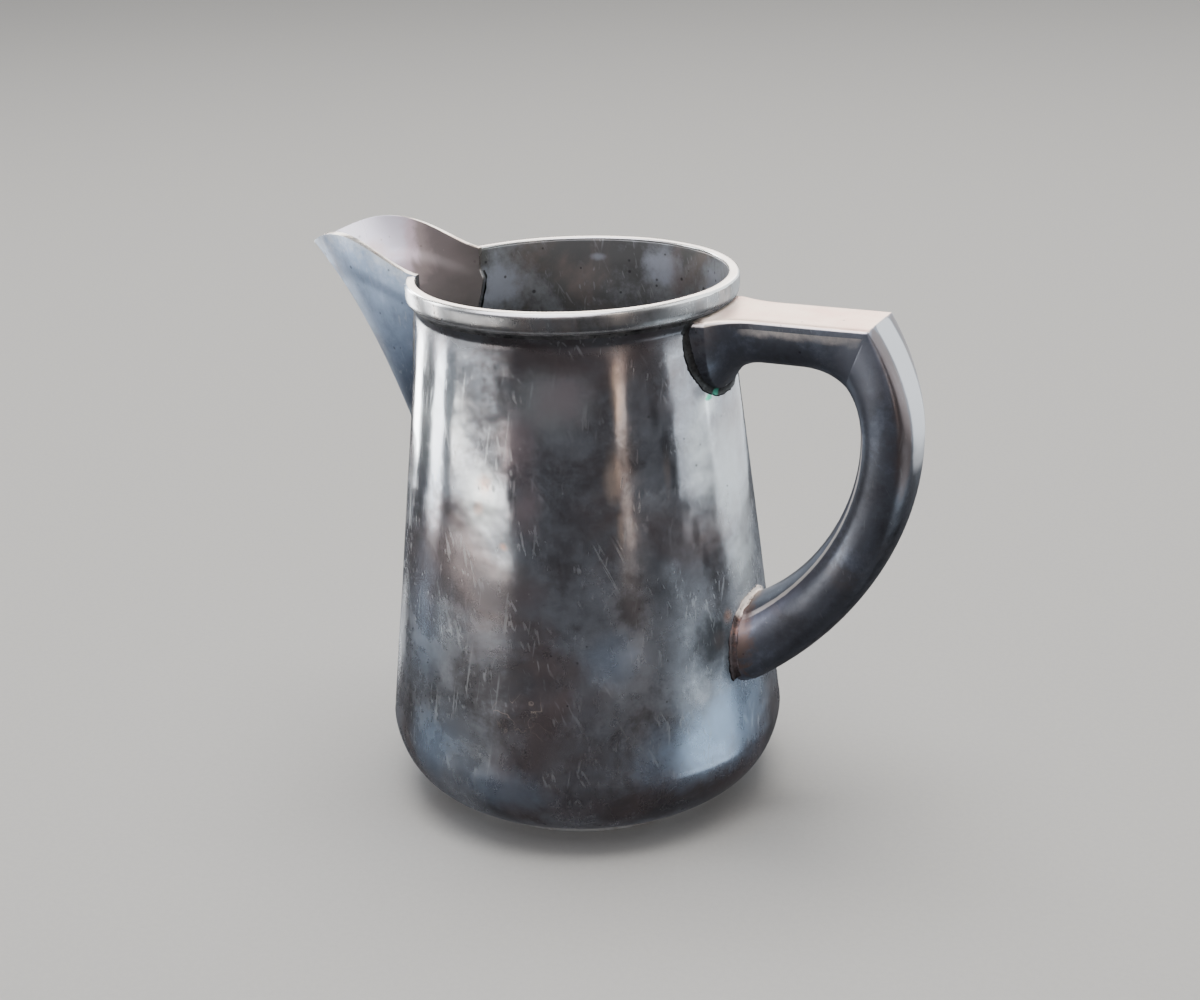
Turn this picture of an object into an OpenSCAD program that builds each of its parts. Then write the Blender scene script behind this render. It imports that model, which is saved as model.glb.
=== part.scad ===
// Cream jug: a tapering round body with a soldered spout and a hollow loop handle.
// The origin is the centre of the foot's resting plane. +Z is up, +X points to the
// handle and -X to the spout. Every piece is a separate solid, soldered to the next.

/* [Body] */
// Height from the resting plane to the top of the rim
jug_h = 98.9; // [84:0.1:125]
// Widest outer diameter of the body, just above its shoulder
body_d = 75.1; // [66:0.1:92]
// Height of the widest line above the resting plane
shoulder_h = 14.5; // [12:0.5:22]
// How square the shoulder is: 2 is an ellipse, more is squarer
shoulder_n = 1.85; // [1.6:0.05:3]
// Thickness of the sheet that the body is made from
wall_t = 0.95; // [0.7:0.05:1.4]

/* [Foot] */
// Outer diameter of the foot ring
foot_d = 56; // [46:0.1:62]
// Height of the foot ring
foot_h = 2; // [1.2:0.1:3]
// Width of the ring's resting face
foot_w = 2.2; // [1.6:0.1:4]
// How far the let-in base domes up at its centre
base_dome = 1.4; // [0:0.1:3]

/* [Rim] */
// Outer diameter of the rim moulding
rim_d = 60; // [56:0.1:72]
// How far the wall under the moulding stands inside the moulding's edge
neck_step = 1.7; // [1:0.1:3]
// Height of the rim moulding
band_h = 3.8; // [2.5:0.1:6]
// Thickness of the rim moulding
band_t = 0.9; // [0.6:0.1:2]
// Height over which the wall flares out under the moulding
flare_h = 2.6; // [1.5:0.1:5]

/* [Spout] */
// Distance from the body's axis to the spout's tip
spout_reach = 54.3; // [46:0.1:64]
// Width of the mouth where the spout meets the rim
spout_mouth = 24.4; // [16:0.1:30]
// Distance from the rim's top down to the point where the keel leaves the wall
spout_drop = 41; // [28:0.5:60]
// Height of the tip above the rim
tip_rise = 1.9; // [0:0.1:6]
// Height of the two lip crests above the straight line from the rim to the tip
crest_h = 4.8; // [0:0.1:8]
// How pointed the keel is lower down: 0 is a round section, more is sharper
keel_edge = 1.2; // [0:0.1:2]
// How pointed the lip is, seen from above
lip_edge = 0.15; // [0:0.05:0.6]
// Thickness of the spout's sheet
spout_t = 1.2; // [0.8:0.05:1.8]

/* [Handle] */
// Width of the handle
handle_w = 13.8; // [9:0.1:18]
// Depth of the handle's top arm
arm_t = 8.8; // [6:0.1:12]
// Depth of the handle at its widest reach
bow_t = 10; // [6:0.1:13]
// Distance from the body's axis to the corner of the handle
elbow_reach = 57.4; // [50:0.1:68]
// Distance from the body's axis to the outermost point of the handle
bow_reach = 65; // [56:0.1:76]
// Height where the lower end of the handle's back meets the wall
low_h = 26; // [22:0.1:32]
// Height of the lower joint on the wall
low_joint_h = 15; // [10:0.1:18]
// Width of the lower joint on the wall
low_joint_w = 18.2; // [14:0.1:22]
// Height of the upper joint on the wall
top_joint_h = 14.4; // [12:0.1:18]
// Width of the upper joint on the wall
top_joint_w = 20.6; // [15:0.1:24]
// Depth of the handle's back along the flat top arm
back_flat = 1.6; // [1.4:0.1:2.5]
// Depth of the handle's back along the rounded bow
back_round = 4.2; // [2:0.1:4.5]
// Thickness of the sheet that both halves of the handle are made from
handle_t = 1; // [0.7:0.05:1.2]

/* [Solder] */
// Size of the fillet around the handle's two joints
joint_bead = 1.1; // [0.5:0.1:2]
// Size of the fillet along the spout's joint
spout_bead = 0.8; // [0.4:0.1:1.5]
// Size of the fillet inside the base and under the rim moulding
ring_bead = 0.7; // [0.4:0.1:1.2]
// Clearance that every soldered joint is drawn with
gap = 0.05; // [0.02:0.01:0.1]

/* [Hidden] */
round_fn = 96;
eps = 0.01;

// Body
body_r = body_d / 2;
neck_r = rim_d / 2 - neck_step;
foot_r = foot_d / 2;
foot_in = foot_r - foot_w;
band_z = jug_h - band_h;
flare_z = band_z - flare_h;
lip_r = rim_d / 2 - band_t - gap;
foot_soft = foot_h * 0.35;
band_soft = band_t * 0.3;
solder_rise = ring_bead * 0.6;
cove_fill = ring_bead * 0.25;
cove_top = ring_bead * 0.7;
arc_steps = 24;
flare_steps = 6;
base_steps = 12;
fillet_hollow = 0.3;

// Spout
tip_z = jug_h + tip_rise;
root_z = jug_h - spout_drop;
mouth_w = spout_mouth / 2;
joint_bow = 0.9;
keel_low = [0.24, 0.33];
keel_high = [0.47, 0.71];
crest_start = 5;
crest_lean = 0.77;
crest_round = 2.2;
spout_rows = 26;
spout_cols = 32;
spout_s0 = 0.015;
spout_step = 0.01;
root_cluster = 1.5;
inner_w = spout_t * 1.4;

// Handle, with the pulls of its curves in millimetres across and up
arm_drop = 0.3;
arm_z = band_z - arm_drop;
arm_in_z = arm_z - arm_t;
bow_share = 0.69;
bow_z = low_h + (arm_z - low_h) * bow_share;
throat_len = 8.5;
turn_back = 12.9;
bow_in_rise = 1;
root_pull = [1.8, 3.2];
throat_pull = [4.2, 0];
turn_pull = [7, 0];
elbow_pull = [0, 7];
corner_pull = [3.5, -4.5];
bow_pull = [0, 8];
bow_out_drop = [0, (bow_z - low_h) * 0.42];
bow_in_drop = [0, (bow_z - low_h) * 0.26];
low_out_pull = [15, (bow_z - low_h) * 0.19];
low_in_pull = [12.6, 6.8];
root_flare = 2.2;
low_flare = 1.6;
root_round = 0.35;
belly_n = 2.5;
flat_n = 7;
round_n = 2.3;
edge_cluster = 3;
belly_cols = 20;
back_cols = 18;
root_rows = 10;
arm_rows = 4;
elbow_rows = 8;
bow_rows = 22;
flare_rows = 7;
bead_cols = 3;

// ---------- Shared functions ----------

// Outer radius of the wall at height z, from the widest line up
function wall_r(z) =
    z >= band_z ? lip_r :
    z >= flare_z ? neck_r + (lip_r - neck_r) * (1 - cos(180 * (z - flare_z) / flare_h)) / 2 :
    body_r - (body_r - neck_r) * (z - shoulder_h) / (flare_z - shoulder_h);

// The wall's outline at a depth below its outer face: 0 is outside, wall_t is inside
function wall_line(inset) = concat(
    [[foot_in, foot_h + inset]],
    [for (i = [0 : arc_steps])
        let (a = 90 * (1 - i / arc_steps), k = 2 / shoulder_n)
        [foot_r + (body_r - inset - foot_r) * pow(cos(a), k),
         shoulder_h - (shoulder_h - foot_h - inset) * pow(sin(a), k)]],
    [for (i = [0 : flare_steps])
        let (z = flare_z + flare_h * i / flare_steps)
        [wall_r(z) - inset, z]],
    [[lip_r - inset, jug_h]]);

// Points of a cubic curve
function curve(a, b, c, d, t) =
    pow(1 - t, 3) * a + 3 * pow(1 - t, 2) * t * b + 3 * (1 - t) * t * t * c + t * t * t * d;

function reversed(list) = [for (i = [len(list) - 1 : -1 : 0]) list[i]];

// A closed sheet between two grids of points with the same rows and columns
module sheet(outer, inner) {
    rows = len(outer);
    cols = len(outer[0]);
    n = rows * cols;
    o = [for (i = [0 : rows - 1]) [for (j = [0 : cols - 1]) i * cols + j]];
    quads = concat(
        [for (i = [0 : rows - 2]) for (j = [0 : cols - 2])
            [o[i][j], o[i][j + 1], o[i + 1][j + 1], o[i + 1][j]]],
        [for (i = [0 : rows - 2]) for (j = [0 : cols - 2])
            [n + o[i][j], n + o[i + 1][j], n + o[i + 1][j + 1], n + o[i][j + 1]]],
        [for (i = [0 : rows - 2])
            [o[i][0], o[i + 1][0], n + o[i + 1][0], n + o[i][0]]],
        [for (i = [0 : rows - 2])
            [o[i][cols - 1], n + o[i][cols - 1], n + o[i + 1][cols - 1], o[i + 1][cols - 1]]],
        [for (j = [0 : cols - 2])
            [o[0][j], n + o[0][j], n + o[0][j + 1], o[0][j + 1]]],
        [for (j = [0 : cols - 2])
            [o[rows - 1][j], o[rows - 1][j + 1], n + o[rows - 1][j + 1], n + o[rows - 1][j]]]);
    faces = [for (q = quads) for (f = [[q[0], q[1], q[2]], [q[0], q[2], q[3]]]) f];
    points = [for (grid = [outer, inner]) for (row = grid) for (p = row) p];
    polyhedron(points = points, faces = faces, convexity = 6);
}

// The point of the wall's outer face at [y, z], on its +X or -X side, lifted by a clearance
function on_wall(side, yz, lift) =
    let (r = wall_r(yz[1]) + lift)
    [side * sqrt(r * r - yz[0] * yz[0]), yz[0], yz[1]];

// A hollow solder fillet. Each row holds its corner in the joint, its edge on the wall and
// its edge on the joined piece.
module fillet(rows, flip) {
    wall_side = [for (row = rows) [row[0], row[1]]];
    free_side = [for (row = rows)
        let (middle = (row[1] + row[2]) / 2)
        [row[2], middle + (row[0] - middle) * fillet_hollow]];
    if (flip) sheet(wall_side, free_side);
    else sheet(free_side, wall_side);
}

// ---------- Body, base and rim ----------

// Half-width and height of the spout's joint, from its root (0) to the rim (1)
function joint_w(s) = mouth_w * pow(sin(90 * s), joint_bow);
function joint_z(s) = root_z + spout_drop * s;
function spout_steps(from) = [for (i = [0 : spout_rows]) from + (1 - from) * i / spout_rows];

// Everything inside the spout's joint, cut out of the wall and the rim moulding
module spout_notch() {
    side = [for (s = spout_steps(spout_s0)) [joint_w(s) + gap, joint_z(s)]];
    outline = concat([[0, root_z - gap]], side, [[mouth_w + gap, jug_h + band_h]]);
    translate([-rim_d, 0, 0])
        rotate([90, 0, 90])
            linear_extrude(rim_d)
                polygon(concat(outline, reversed([for (p = outline) if (p[0] > 0) [-p[0], p[1]]])));
}

module body_wall() {
    color("#6f7176")
        difference() {
            rotate_extrude($fn = round_fn)
                polygon(concat(wall_line(0), reversed(wall_line(wall_t))));
            spout_notch();
        }
}

// Height of the base plate's underside at radius r
function base_z(r) = foot_h + base_dome * pow(cos(90 * r / foot_in), 2);

module base_plate() {
    edge = foot_in - gap;
    under = [for (i = [0 : base_steps]) let (r = edge * i / base_steps) [r, base_z(r)]];
    over = [for (p = under) [p[0], p[1] + wall_t]];
    color("#63656b")
        rotate_extrude($fn = round_fn)
            polygon(concat(under, reversed(over)));
}

module foot_ring() {
    color("#a3a7ad")
        rotate_extrude($fn = round_fn)
            polygon([[foot_in, 0], [foot_r - foot_soft, 0], [foot_r, foot_soft],
                     [foot_r, foot_h - gap], [foot_in, foot_h - gap]]);
}

module base_solder() {
    z = foot_h + wall_t + gap;
    color("#8f8579")
        rotate_extrude($fn = round_fn)
            polygon([[foot_in - ring_bead, z + base_z(foot_in - ring_bead) - foot_h],
                     [foot_in + ring_bead, z],
                     [foot_in, z + solder_rise]]);
}

module rim_band() {
    inner = lip_r + gap;
    outer = rim_d / 2;
    color("#b9bcc2")
        difference() {
            rotate_extrude($fn = round_fn)
                polygon([[inner, band_z], [outer - band_soft, band_z],
                         [outer, band_z + band_soft * 2], [outer, jug_h - band_soft],
                         [outer - band_soft, jug_h], [inner, jug_h]]);
            spout_notch();
        }
}

module rim_solder() {
    top = band_z - gap;
    low = top - ring_bead;
    mid = (low + top) / 2;
    color("#4a4a4e")
        difference() {
            rotate_extrude($fn = round_fn)
                polygon([[wall_r(low) + gap, low],
                         [wall_r(mid) + gap + cove_fill, mid],
                         [lip_r + gap + cove_top, top],
                         [lip_r + gap, top],
                         [wall_r(mid) + gap, mid]]);
            spout_notch();
            handle_root_clearance();
        }
}

// ---------- Spout ----------

// Keel of the spout, from its root on the wall (0) to the tip (1), as [reach, height]
function keel(s) =
    let (root = [wall_r(root_z), root_z],
         tip = [spout_reach, tip_z],
         run = tip - root)
    curve(root, root + [keel_low[0] * run[0], keel_low[1] * run[1]],
          root + [keel_high[0] * run[0], keel_high[1] * run[1]], tip, s);

// Unit vector from the keel into the spout
function keel_in(s) =
    let (d = keel(min(1, s + eps)) - keel(max(0, s - eps)))
    [-d[1], d[0]] / norm(d);

// A point of the spout's sheet: s runs up the spout, side runs across it from 0 to 180
// degrees with the keel at 90, and inset is the depth below the outer face
function spout_point(s, side, inset) =
    let (w = joint_w(s) - inset,
         z0 = joint_z(s),
         r0 = wall_r(z0) - wall_t,
         reach0 = sqrt(r0 * r0 - w * w),
         k = keel(s) + inset * keel_in(s),
         half = min(side, 180 - side) / 90,
         point = 1 + lip_edge + keel_edge * (1 - s),
         along = pow(s, crest_start),
         across = pow(sin(180 * pow(half, crest_lean)), crest_round))
    [-(reach0 + (k[0] - reach0) * sin(side)),
     -w * sign(cos(side)) * pow(abs(cos(side)), point),
     z0 + (k[1] - z0) * half + crest_h * along * across];

// Share of the spout's height at which its joint is wider than its sheet
function inner_start(s = spout_s0) = joint_w(s) > inner_w ? s : inner_start(s + spout_step);

function spout_skin(from, inset) = [for (s = spout_steps(from))
    [for (j = [0 : spout_cols]) spout_point(s, 180 * j / spout_cols, inset)]];

module spout() {
    color("#7d8796")
        sheet(spout_skin(spout_s0, 0), spout_skin(inner_start(), spout_t));
}

// A fillet on the wall along the whole joint, down one side of the spout and up the other
module spout_solder() {
    top = 1 - (band_h + ring_bead + 3 * gap) / spout_drop;
    rows = [for (i = [-spout_rows : spout_rows])
        let (s = top * pow(abs(i) / spout_rows, root_cluster),
             ahead = s + spout_step,
             behind = max(0, s - spout_step),
             dw = joint_w(ahead) - joint_w(behind),
             dz = joint_z(ahead) - joint_z(behind),
             out = [sign(i) * dz, -dw] / norm([sign(i) * dz, dw]),
             on_joint = [sign(i) * joint_w(s), joint_z(s)],
             near = on_wall(-1, on_joint + out * gap * 2, gap * 1.5),
             far = on_wall(-1, on_joint + out * (gap * 2 + spout_bead), gap * 1.5))
        [near, far, near - [spout_bead, 0, 0]]];
    color("#8a8072")
        fillet(rows, false);
}

// ---------- Handle ----------

// Stations of the handle as pairs of points, outer face and inner face, in its plane
function handle_stations() =
    let (corner = [elbow_reach, arm_z],
         bow_out = [bow_reach, bow_z],
         low_out = [wall_r(low_h), low_h],
         low_in_z = low_h + low_joint_h,
         low_in = [wall_r(low_in_z), low_in_z],
         root_z1 = arm_z - top_joint_h,
         root_in = [wall_r(root_z1), root_z1],
         root_out = [wall_r(arm_z), arm_z],
         throat = [wall_r(arm_in_z) + throat_len, arm_in_z],
         turn = [elbow_reach - turn_back, arm_in_z],
         bow_in = [bow_reach - bow_t, bow_z + bow_in_rise])
    concat(
        [for (i = [0 : root_rows - 1])
            let (t = i / root_rows)
            [root_out + ([throat[0], arm_z] - root_out) * t,
             curve(root_in, root_in + root_pull, throat - throat_pull, throat, t)]],
        [for (i = [0 : arm_rows - 1])
            let (t = i / arm_rows, x = throat[0] + (turn[0] - throat[0]) * t)
            [[x, arm_z], [x, arm_in_z]]],
        [for (i = [0 : elbow_rows - 1])
            let (t = i / elbow_rows)
            [[turn[0] + (corner[0] - turn[0]) * t, arm_z], elbow_in(turn, bow_in, t / 2)]],
        [for (i = [0 : elbow_rows - 1])
            let (t = i / elbow_rows)
            [curve(corner, corner + corner_pull, bow_out + bow_pull, bow_out, t),
             elbow_in(turn, bow_in, 0.5 + t / 2)]],
        [for (i = [0 : bow_rows])
            let (t = i / bow_rows)
            [curve(bow_out, bow_out - bow_out_drop, low_out + low_out_pull, low_out, t),
             curve(bow_in, bow_in - bow_in_drop, low_in + low_in_pull, low_in, t)]]);

// The rounded inner corner, from the top arm to the bow
function elbow_in(turn, bow_in, t) =
    curve(turn, turn + turn_pull, bow_in + elbow_pull, bow_in, t);

stations = handle_stations();
corner_row = root_rows + arm_rows + elbow_rows;
bow_row = corner_row + elbow_rows;
last_row = len(stations) - 1;

// How much a station widens to its joint on the wall: 0 is not at all, 1 is at the wall
function root_share(i) = pow(max(0, 1 - i / root_rows), root_flare);
function low_share(i) = pow(max(0, 1 - (last_row - i) / flare_rows), low_flare);

// How round the handle's back is: 0 along the top arm, 1 along the bow
function round_share(i) = max(
    min(1, max(0, (i - corner_row) / elbow_rows)),
    root_share(i) * root_round);

function half_w(i) = handle_w / 2
    + root_share(i) * (top_joint_w - handle_w) / 2
    + low_share(i) * (low_joint_w - handle_w) / 2;
function depth(i) = norm(stations[i][1] - stations[i][0]);
function back_depth(i) = back_flat + (back_round - back_flat) * round_share(i);

// A point of a station's cross-section: across is along Y, deep is from the outer face
// inwards. The first and last stations lie on the wall.
function handle_point(i, across, deep) =
    let (a = stations[i][0],
         b = stations[i][1],
         p = a + (b - a) * deep / depth(i),
         on_wall = i == 0 || i == last_row,
         r = wall_r(p[1]) + 2 * gap)
    [on_wall ? sqrt(r * r - across * across) : p[0], across, p[1]];

// A row across the handle's back, at a depth below its outer face
function back_row(i, inset) =
    let (n = flat_n + (round_n - flat_n) * round_share(i),
         edge = back_depth(i))
    [for (j = [0 : back_cols])
        let (t = 2 * j / back_cols - 1,
             u = 1 - pow(1 - abs(t), edge_cluster))
        handle_point(i, sign(t) * u * (half_w(i) - inset),
                     edge - (edge - inset) * pow(1 - pow(u, n), 1 / n))];

module handle_back() {
    color("#c9b8a6")
        sheet([for (i = [0 : last_row]) back_row(i, 0)],
              [for (i = [0 : last_row]) back_row(i, handle_t)]);
}

// A row across the handle's belly, at a depth below its outer face
function belly_row(i, inset) =
    let (top = back_depth(i) + gap, k = 2 / belly_n)
    [for (j = [0 : belly_cols])
        let (a = 180 * j / belly_cols)
        handle_point(i, -sign(cos(a)) * pow(abs(cos(a)), k) * (half_w(i) - inset),
                     top + (depth(i) - inset - top) * pow(sin(a), k))];

module handle_belly() {
    color("#3c3f45")
        sheet([for (i = [0 : last_row]) belly_row(i, handle_t)],
              [for (i = [0 : last_row]) belly_row(i, 0)]);
}

// The handle's whole outline at a station, as rows of points
function handle_outline(i) =
    let (back = back_row(i, 0))
    concat([for (j = [bead_cols : -1 : 1]) back[j]], belly_row(i, 0),
           [for (j = [1 : bead_cols]) back[back_cols - j]]);

// A fillet around the end of the handle, from station i towards its neighbour
module handle_bead(i, next) {
    ends = handle_outline(i);
    onward = handle_outline(next);
    centre = (stations[i][0] + stations[i][1]) / 2;
    rows = [for (j = [0 : len(ends) - 1])
        let (e = ends[j],
             before = ends[max(0, j - 1)],
             after = ends[min(len(ends) - 1, j + 1)],
             along = [after[1] - before[1], after[2] - before[2]],
             side = [along[1], -along[0]] / norm(along),
             flip = side * [e[1], e[2] - centre[1]] < 0 ? -1 : 1,
             out = flip * side,
             run = (onward[j] - e) / norm(onward[j] - e),
             on_joint = [e[1], e[2]],
             near = on_joint + out * gap * 2,
             full = on_joint + out * (joint_bead + gap * 2),
             far = [full[0], min(full[1], band_z - gap)])
        [on_wall(1, near, gap), on_wall(1, far, gap),
         e + run * joint_bead + [0, out[0], out[1]] * gap * 2]];
    fillet(rows, next > i);
}

module upper_handle_solder() {
    color("#5d7f6a") handle_bead(0, 1);
}

module lower_handle_solder() {
    color("#b5764c") handle_bead(last_row, last_row - 1);
}

// Room for the handle's upper end and its fillet in the bead under the rim moulding
module handle_root_clearance() {
    across = top_joint_w + 2 * (joint_bead + 3 * gap);
    translate([0, -across / 2, flare_z - ring_bead])
        cube([rim_d, across, band_h + flare_h]);
}

body_wall();
base_plate();
foot_ring();
rim_band();
rim_solder();
spout();
spout_solder();
handle_back();
handle_belly();
upper_handle_solder();
lower_handle_solder();
base_solder();
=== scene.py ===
"""Cream jug: smooth, weathered pieces built around the jug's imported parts, with a studio stage."""

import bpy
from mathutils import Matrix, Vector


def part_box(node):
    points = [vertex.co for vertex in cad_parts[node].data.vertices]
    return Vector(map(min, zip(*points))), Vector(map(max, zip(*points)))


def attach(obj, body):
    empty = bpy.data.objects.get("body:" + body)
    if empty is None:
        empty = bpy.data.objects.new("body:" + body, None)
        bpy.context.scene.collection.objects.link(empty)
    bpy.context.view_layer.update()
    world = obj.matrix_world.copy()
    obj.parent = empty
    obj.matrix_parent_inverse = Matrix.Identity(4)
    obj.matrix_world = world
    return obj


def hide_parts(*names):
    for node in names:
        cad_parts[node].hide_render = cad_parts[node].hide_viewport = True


bl_info = {
    "name": "Cream Jug",
    "version": (1, 0, 0),
    "blender": (4, 5, 0),
    "location": "3D View > Sidebar > Jug",
    "description": "Builds a small tarnished silver cream jug and the stage that it stands on",
    "category": "Add Mesh",
}

import bpy
import numpy as np
from mathutils import Matrix, Vector, noise

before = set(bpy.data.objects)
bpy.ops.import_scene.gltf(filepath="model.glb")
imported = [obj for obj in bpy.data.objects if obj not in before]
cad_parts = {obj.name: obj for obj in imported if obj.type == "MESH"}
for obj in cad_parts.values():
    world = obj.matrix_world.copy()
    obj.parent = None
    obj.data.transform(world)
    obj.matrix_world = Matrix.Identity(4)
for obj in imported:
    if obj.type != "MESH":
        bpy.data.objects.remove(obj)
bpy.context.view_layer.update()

MM = 0.001
BODY = "root"

wall_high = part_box("body_wall")[1]
band_low, band_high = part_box("rim_band")
ring_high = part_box("foot_ring")[1]
spout_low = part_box("spout")[0]

# ---------- Shape, in metres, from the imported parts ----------

JUG_H = band_high.z
BODY_R = wall_high.y
RIM_R = band_high.y
FOOT_R = ring_high.x
FOOT_H = ring_high.z + 0.05 * MM
BAND_Z = band_low.z
SHOULDER_H = 14.5 * MM
SHOULDER_POWER = 2 / 1.85
WALL_T = 0.95 * MM
BAND_T = 0.9 * MM
NECK_R = RIM_R - 1.7 * MM
LIP_R = RIM_R - BAND_T - 0.05 * MM
FLARE_H = 2.6 * MM
FLARE_Z = BAND_Z - FLARE_H
FOOT_IN = FOOT_R - 2.2 * MM
BASE_DOME = 1.4 * MM

SPOUT_REACH = -spout_low.x
SPOUT_DROP = 41 * MM
TIP_Z = JUG_H + 1.9 * MM
ROOT_Z = JUG_H - SPOUT_DROP
MOUTH_W = 12.2 * MM
CREST_H = 4.8 * MM
CREST_START = 5
CREST_LEAN = 0.77
CREST_ROUND = 2.2
JOINT_BOW = 0.9
KEEL_EDGE = 1.2
LIP_EDGE = 0.15
SPOUT_T = 1.2 * MM

HANDLE_W = 6.9 * MM
HANDLE_T = 1 * MM
ARM_T = 8.8 * MM
BOW_T = 10 * MM
BOW_REACH = 65 * MM
ELBOW_REACH = 57.4 * MM
LOW_H = 26 * MM
LOW_JOINT_H = 15 * MM
LOW_JOINT_W = 9.1 * MM
TOP_JOINT_H = 14.4 * MM
TOP_JOINT_W = 10.3 * MM
JOINT_FILLET = 1 * MM
BACK_FLAT = 1.6 * MM
BACK_ROUND = 4.2 * MM
ARM_Z = BAND_Z - 0.3 * MM
ARM_IN_Z = ARM_Z - ARM_T
BOW_Z = LOW_H + (ARM_Z - LOW_H) * 0.69
BOW_H = BOW_Z - LOW_H
ROOT_ROWS = 10
ARM_ROWS = 4
ELBOW_ROWS = 8
BOW_ROWS = 22
CORNER_ROW = ROOT_ROWS + ARM_ROWS + ELBOW_ROWS
BOW_ROW = CORNER_ROW + ELBOW_ROWS
LAST_ROW = BOW_ROW + BOW_ROWS
FLARE_ROWS = 7


def smooth(x):
    """0 to 1 with soft ends."""
    x = np.clip(x, 0, 1)
    return x * x * (3 - 2 * x)


def wall_r(z):
    """Outer radius of the wall at height z, from the widest line up."""
    flare = NECK_R + (LIP_R - NECK_R) * (1 - np.cos(np.pi * np.clip((z - FLARE_Z) / FLARE_H, 0, 1))) / 2
    cone = BODY_R - (BODY_R - NECK_R) * (z - SHOULDER_H) / (FLARE_Z - SHOULDER_H)
    return np.where(z >= FLARE_Z, flare, cone)


def curve(a, b, c, d, t):
    """Points of a cubic curve."""
    a, b, c, d = (np.array(p, float) for p in (a, b, c, d))
    t = np.asarray(t, float)[..., None]
    return (1 - t) ** 3 * a + 3 * (1 - t) ** 2 * t * b + 3 * (1 - t) * t**2 * c + t**3 * d


def joint_w(s):
    """Half-width of the spout's joint, from its root (0) to the rim (1)."""
    return MOUTH_W * np.sin(np.pi / 2 * np.clip(s, 0, 1)) ** JOINT_BOW


def joint_z(s):
    """Height of the spout's joint, from its root (0) to the rim (1)."""
    return ROOT_Z + SPOUT_DROP * s


def keel(s):
    """The spout's keel as (reach, height), from its root to its tip."""
    root = np.array([float(wall_r(ROOT_Z)), ROOT_Z])
    run = np.array([SPOUT_REACH, TIP_Z]) - root
    return curve(root, root + run * (0.24, 0.33), root + run * (0.47, 0.71), root + run, s)


def spout_point(s, side, inset=0.0):
    """A point of the spout's sheet. s runs up it, and side across it from 0 to pi."""
    w = joint_w(s) - inset
    z0 = joint_z(s)
    reach0 = np.sqrt(np.maximum((wall_r(z0) - WALL_T) ** 2 - w**2, 0))
    k = keel(s)
    half = np.minimum(side, np.pi - side) / (np.pi / 2)
    point = 1 + LIP_EDGE + KEEL_EDGE * (1 - s)
    swell = CREST_H * s**CREST_START * np.sin(np.pi * half**CREST_LEAN) ** CREST_ROUND
    return np.stack([
        -(reach0 + (k[..., 0] - reach0) * np.sin(side)),
        -w * np.sign(np.cos(side)) * np.abs(np.cos(side)) ** point,
        z0 + (k[..., 1] - z0) * half + swell], -1)


def on_wall(yz, lift, side=1):
    """Points at (across, height) on the wall, lifted off it, on the handle's side or the spout's (-1)."""
    r = wall_r(yz[:, 1]) + lift
    return np.stack([side * np.sqrt(r**2 - yz[:, 0] ** 2), yz[:, 0], yz[:, 1]], -1)


def between(a, b, t):
    """A point on the way from a to b."""
    return np.array(a) + (np.array(b) - np.array(a)) * t


def handle_station(u):
    """Outer and inner point of the handle's section at row u, in its plane."""
    corner = np.array([ELBOW_REACH, ARM_Z])
    bow_out = np.array([BOW_REACH, BOW_Z])
    low_out = np.array([float(wall_r(LOW_H)), LOW_H])
    low_in_z = LOW_H + LOW_JOINT_H
    low_in = np.array([float(wall_r(low_in_z)), low_in_z])
    root_z = ARM_Z - TOP_JOINT_H
    root_in = np.array([float(wall_r(root_z)), root_z])
    root_out = np.array([float(wall_r(ARM_Z)), ARM_Z])
    throat = np.array([float(wall_r(ARM_IN_Z)) + 8.5 * MM, ARM_IN_Z])
    turn = np.array([ELBOW_REACH - 12.9 * MM, ARM_IN_Z])
    bow_in = np.array([BOW_REACH - BOW_T, BOW_Z + 1 * MM])
    down = np.array([0, BOW_H])
    elbow = (turn, turn + (7 * MM, 0), bow_in + (0, 7 * MM), bow_in)
    if u < ROOT_ROWS:
        t = u / ROOT_ROWS
        pull = np.array([1.8, 3.2]) * MM
        return (between(root_out, (throat[0], ARM_Z), t),
                curve(root_in, root_in + pull, throat - (4.2 * MM, 0), throat, t))
    if u < ROOT_ROWS + ARM_ROWS:
        x = throat[0] + (turn[0] - throat[0]) * (u - ROOT_ROWS) / ARM_ROWS
        return np.array([x, ARM_Z]), np.array([x, ARM_IN_Z])
    if u < CORNER_ROW:
        t = (u - ROOT_ROWS - ARM_ROWS) / ELBOW_ROWS
        return between((turn[0], ARM_Z), corner, t), curve(*elbow, t / 2)
    if u < BOW_ROW:
        t = (u - CORNER_ROW) / ELBOW_ROWS
        pull = np.array([3.5, -4.5]) * MM
        return (curve(corner, corner + pull, bow_out + (0, 8 * MM), bow_out, t),
                curve(*elbow, 0.5 + t / 2))
    t = (u - BOW_ROW) / BOW_ROWS
    return (curve(bow_out, bow_out - 0.42 * down, low_out + (15 * MM, 0.19 * BOW_H), low_out, t),
            curve(bow_in, bow_in - 0.26 * down, low_in + (12.6 * MM, 6.8 * MM), low_in, t))


def root_share(u):
    """How near row u is to the handle's upper joint, from 0 to 1."""
    return max(0.0, 1 - u / ROOT_ROWS) ** 2.2


def low_share(u):
    """How near row u is to the handle's lower joint, from 0 to 1."""
    return max(0.0, 1 - (LAST_ROW - u) / FLARE_ROWS) ** 1.6


def round_share(u):
    """How round the handle's back is: 0 along the top arm, 1 along the bow."""
    return max(min(1.0, max(0.0, (u - CORNER_ROW) / ELBOW_ROWS)) ** 0.5, root_share(u) * 0.35)


def half_w(u):
    """Half the handle's width at row u, which grows towards both joints."""
    return HANDLE_W + root_share(u) * (TOP_JOINT_W - HANDLE_W) + low_share(u) * (LOW_JOINT_W - HANDLE_W)


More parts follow.
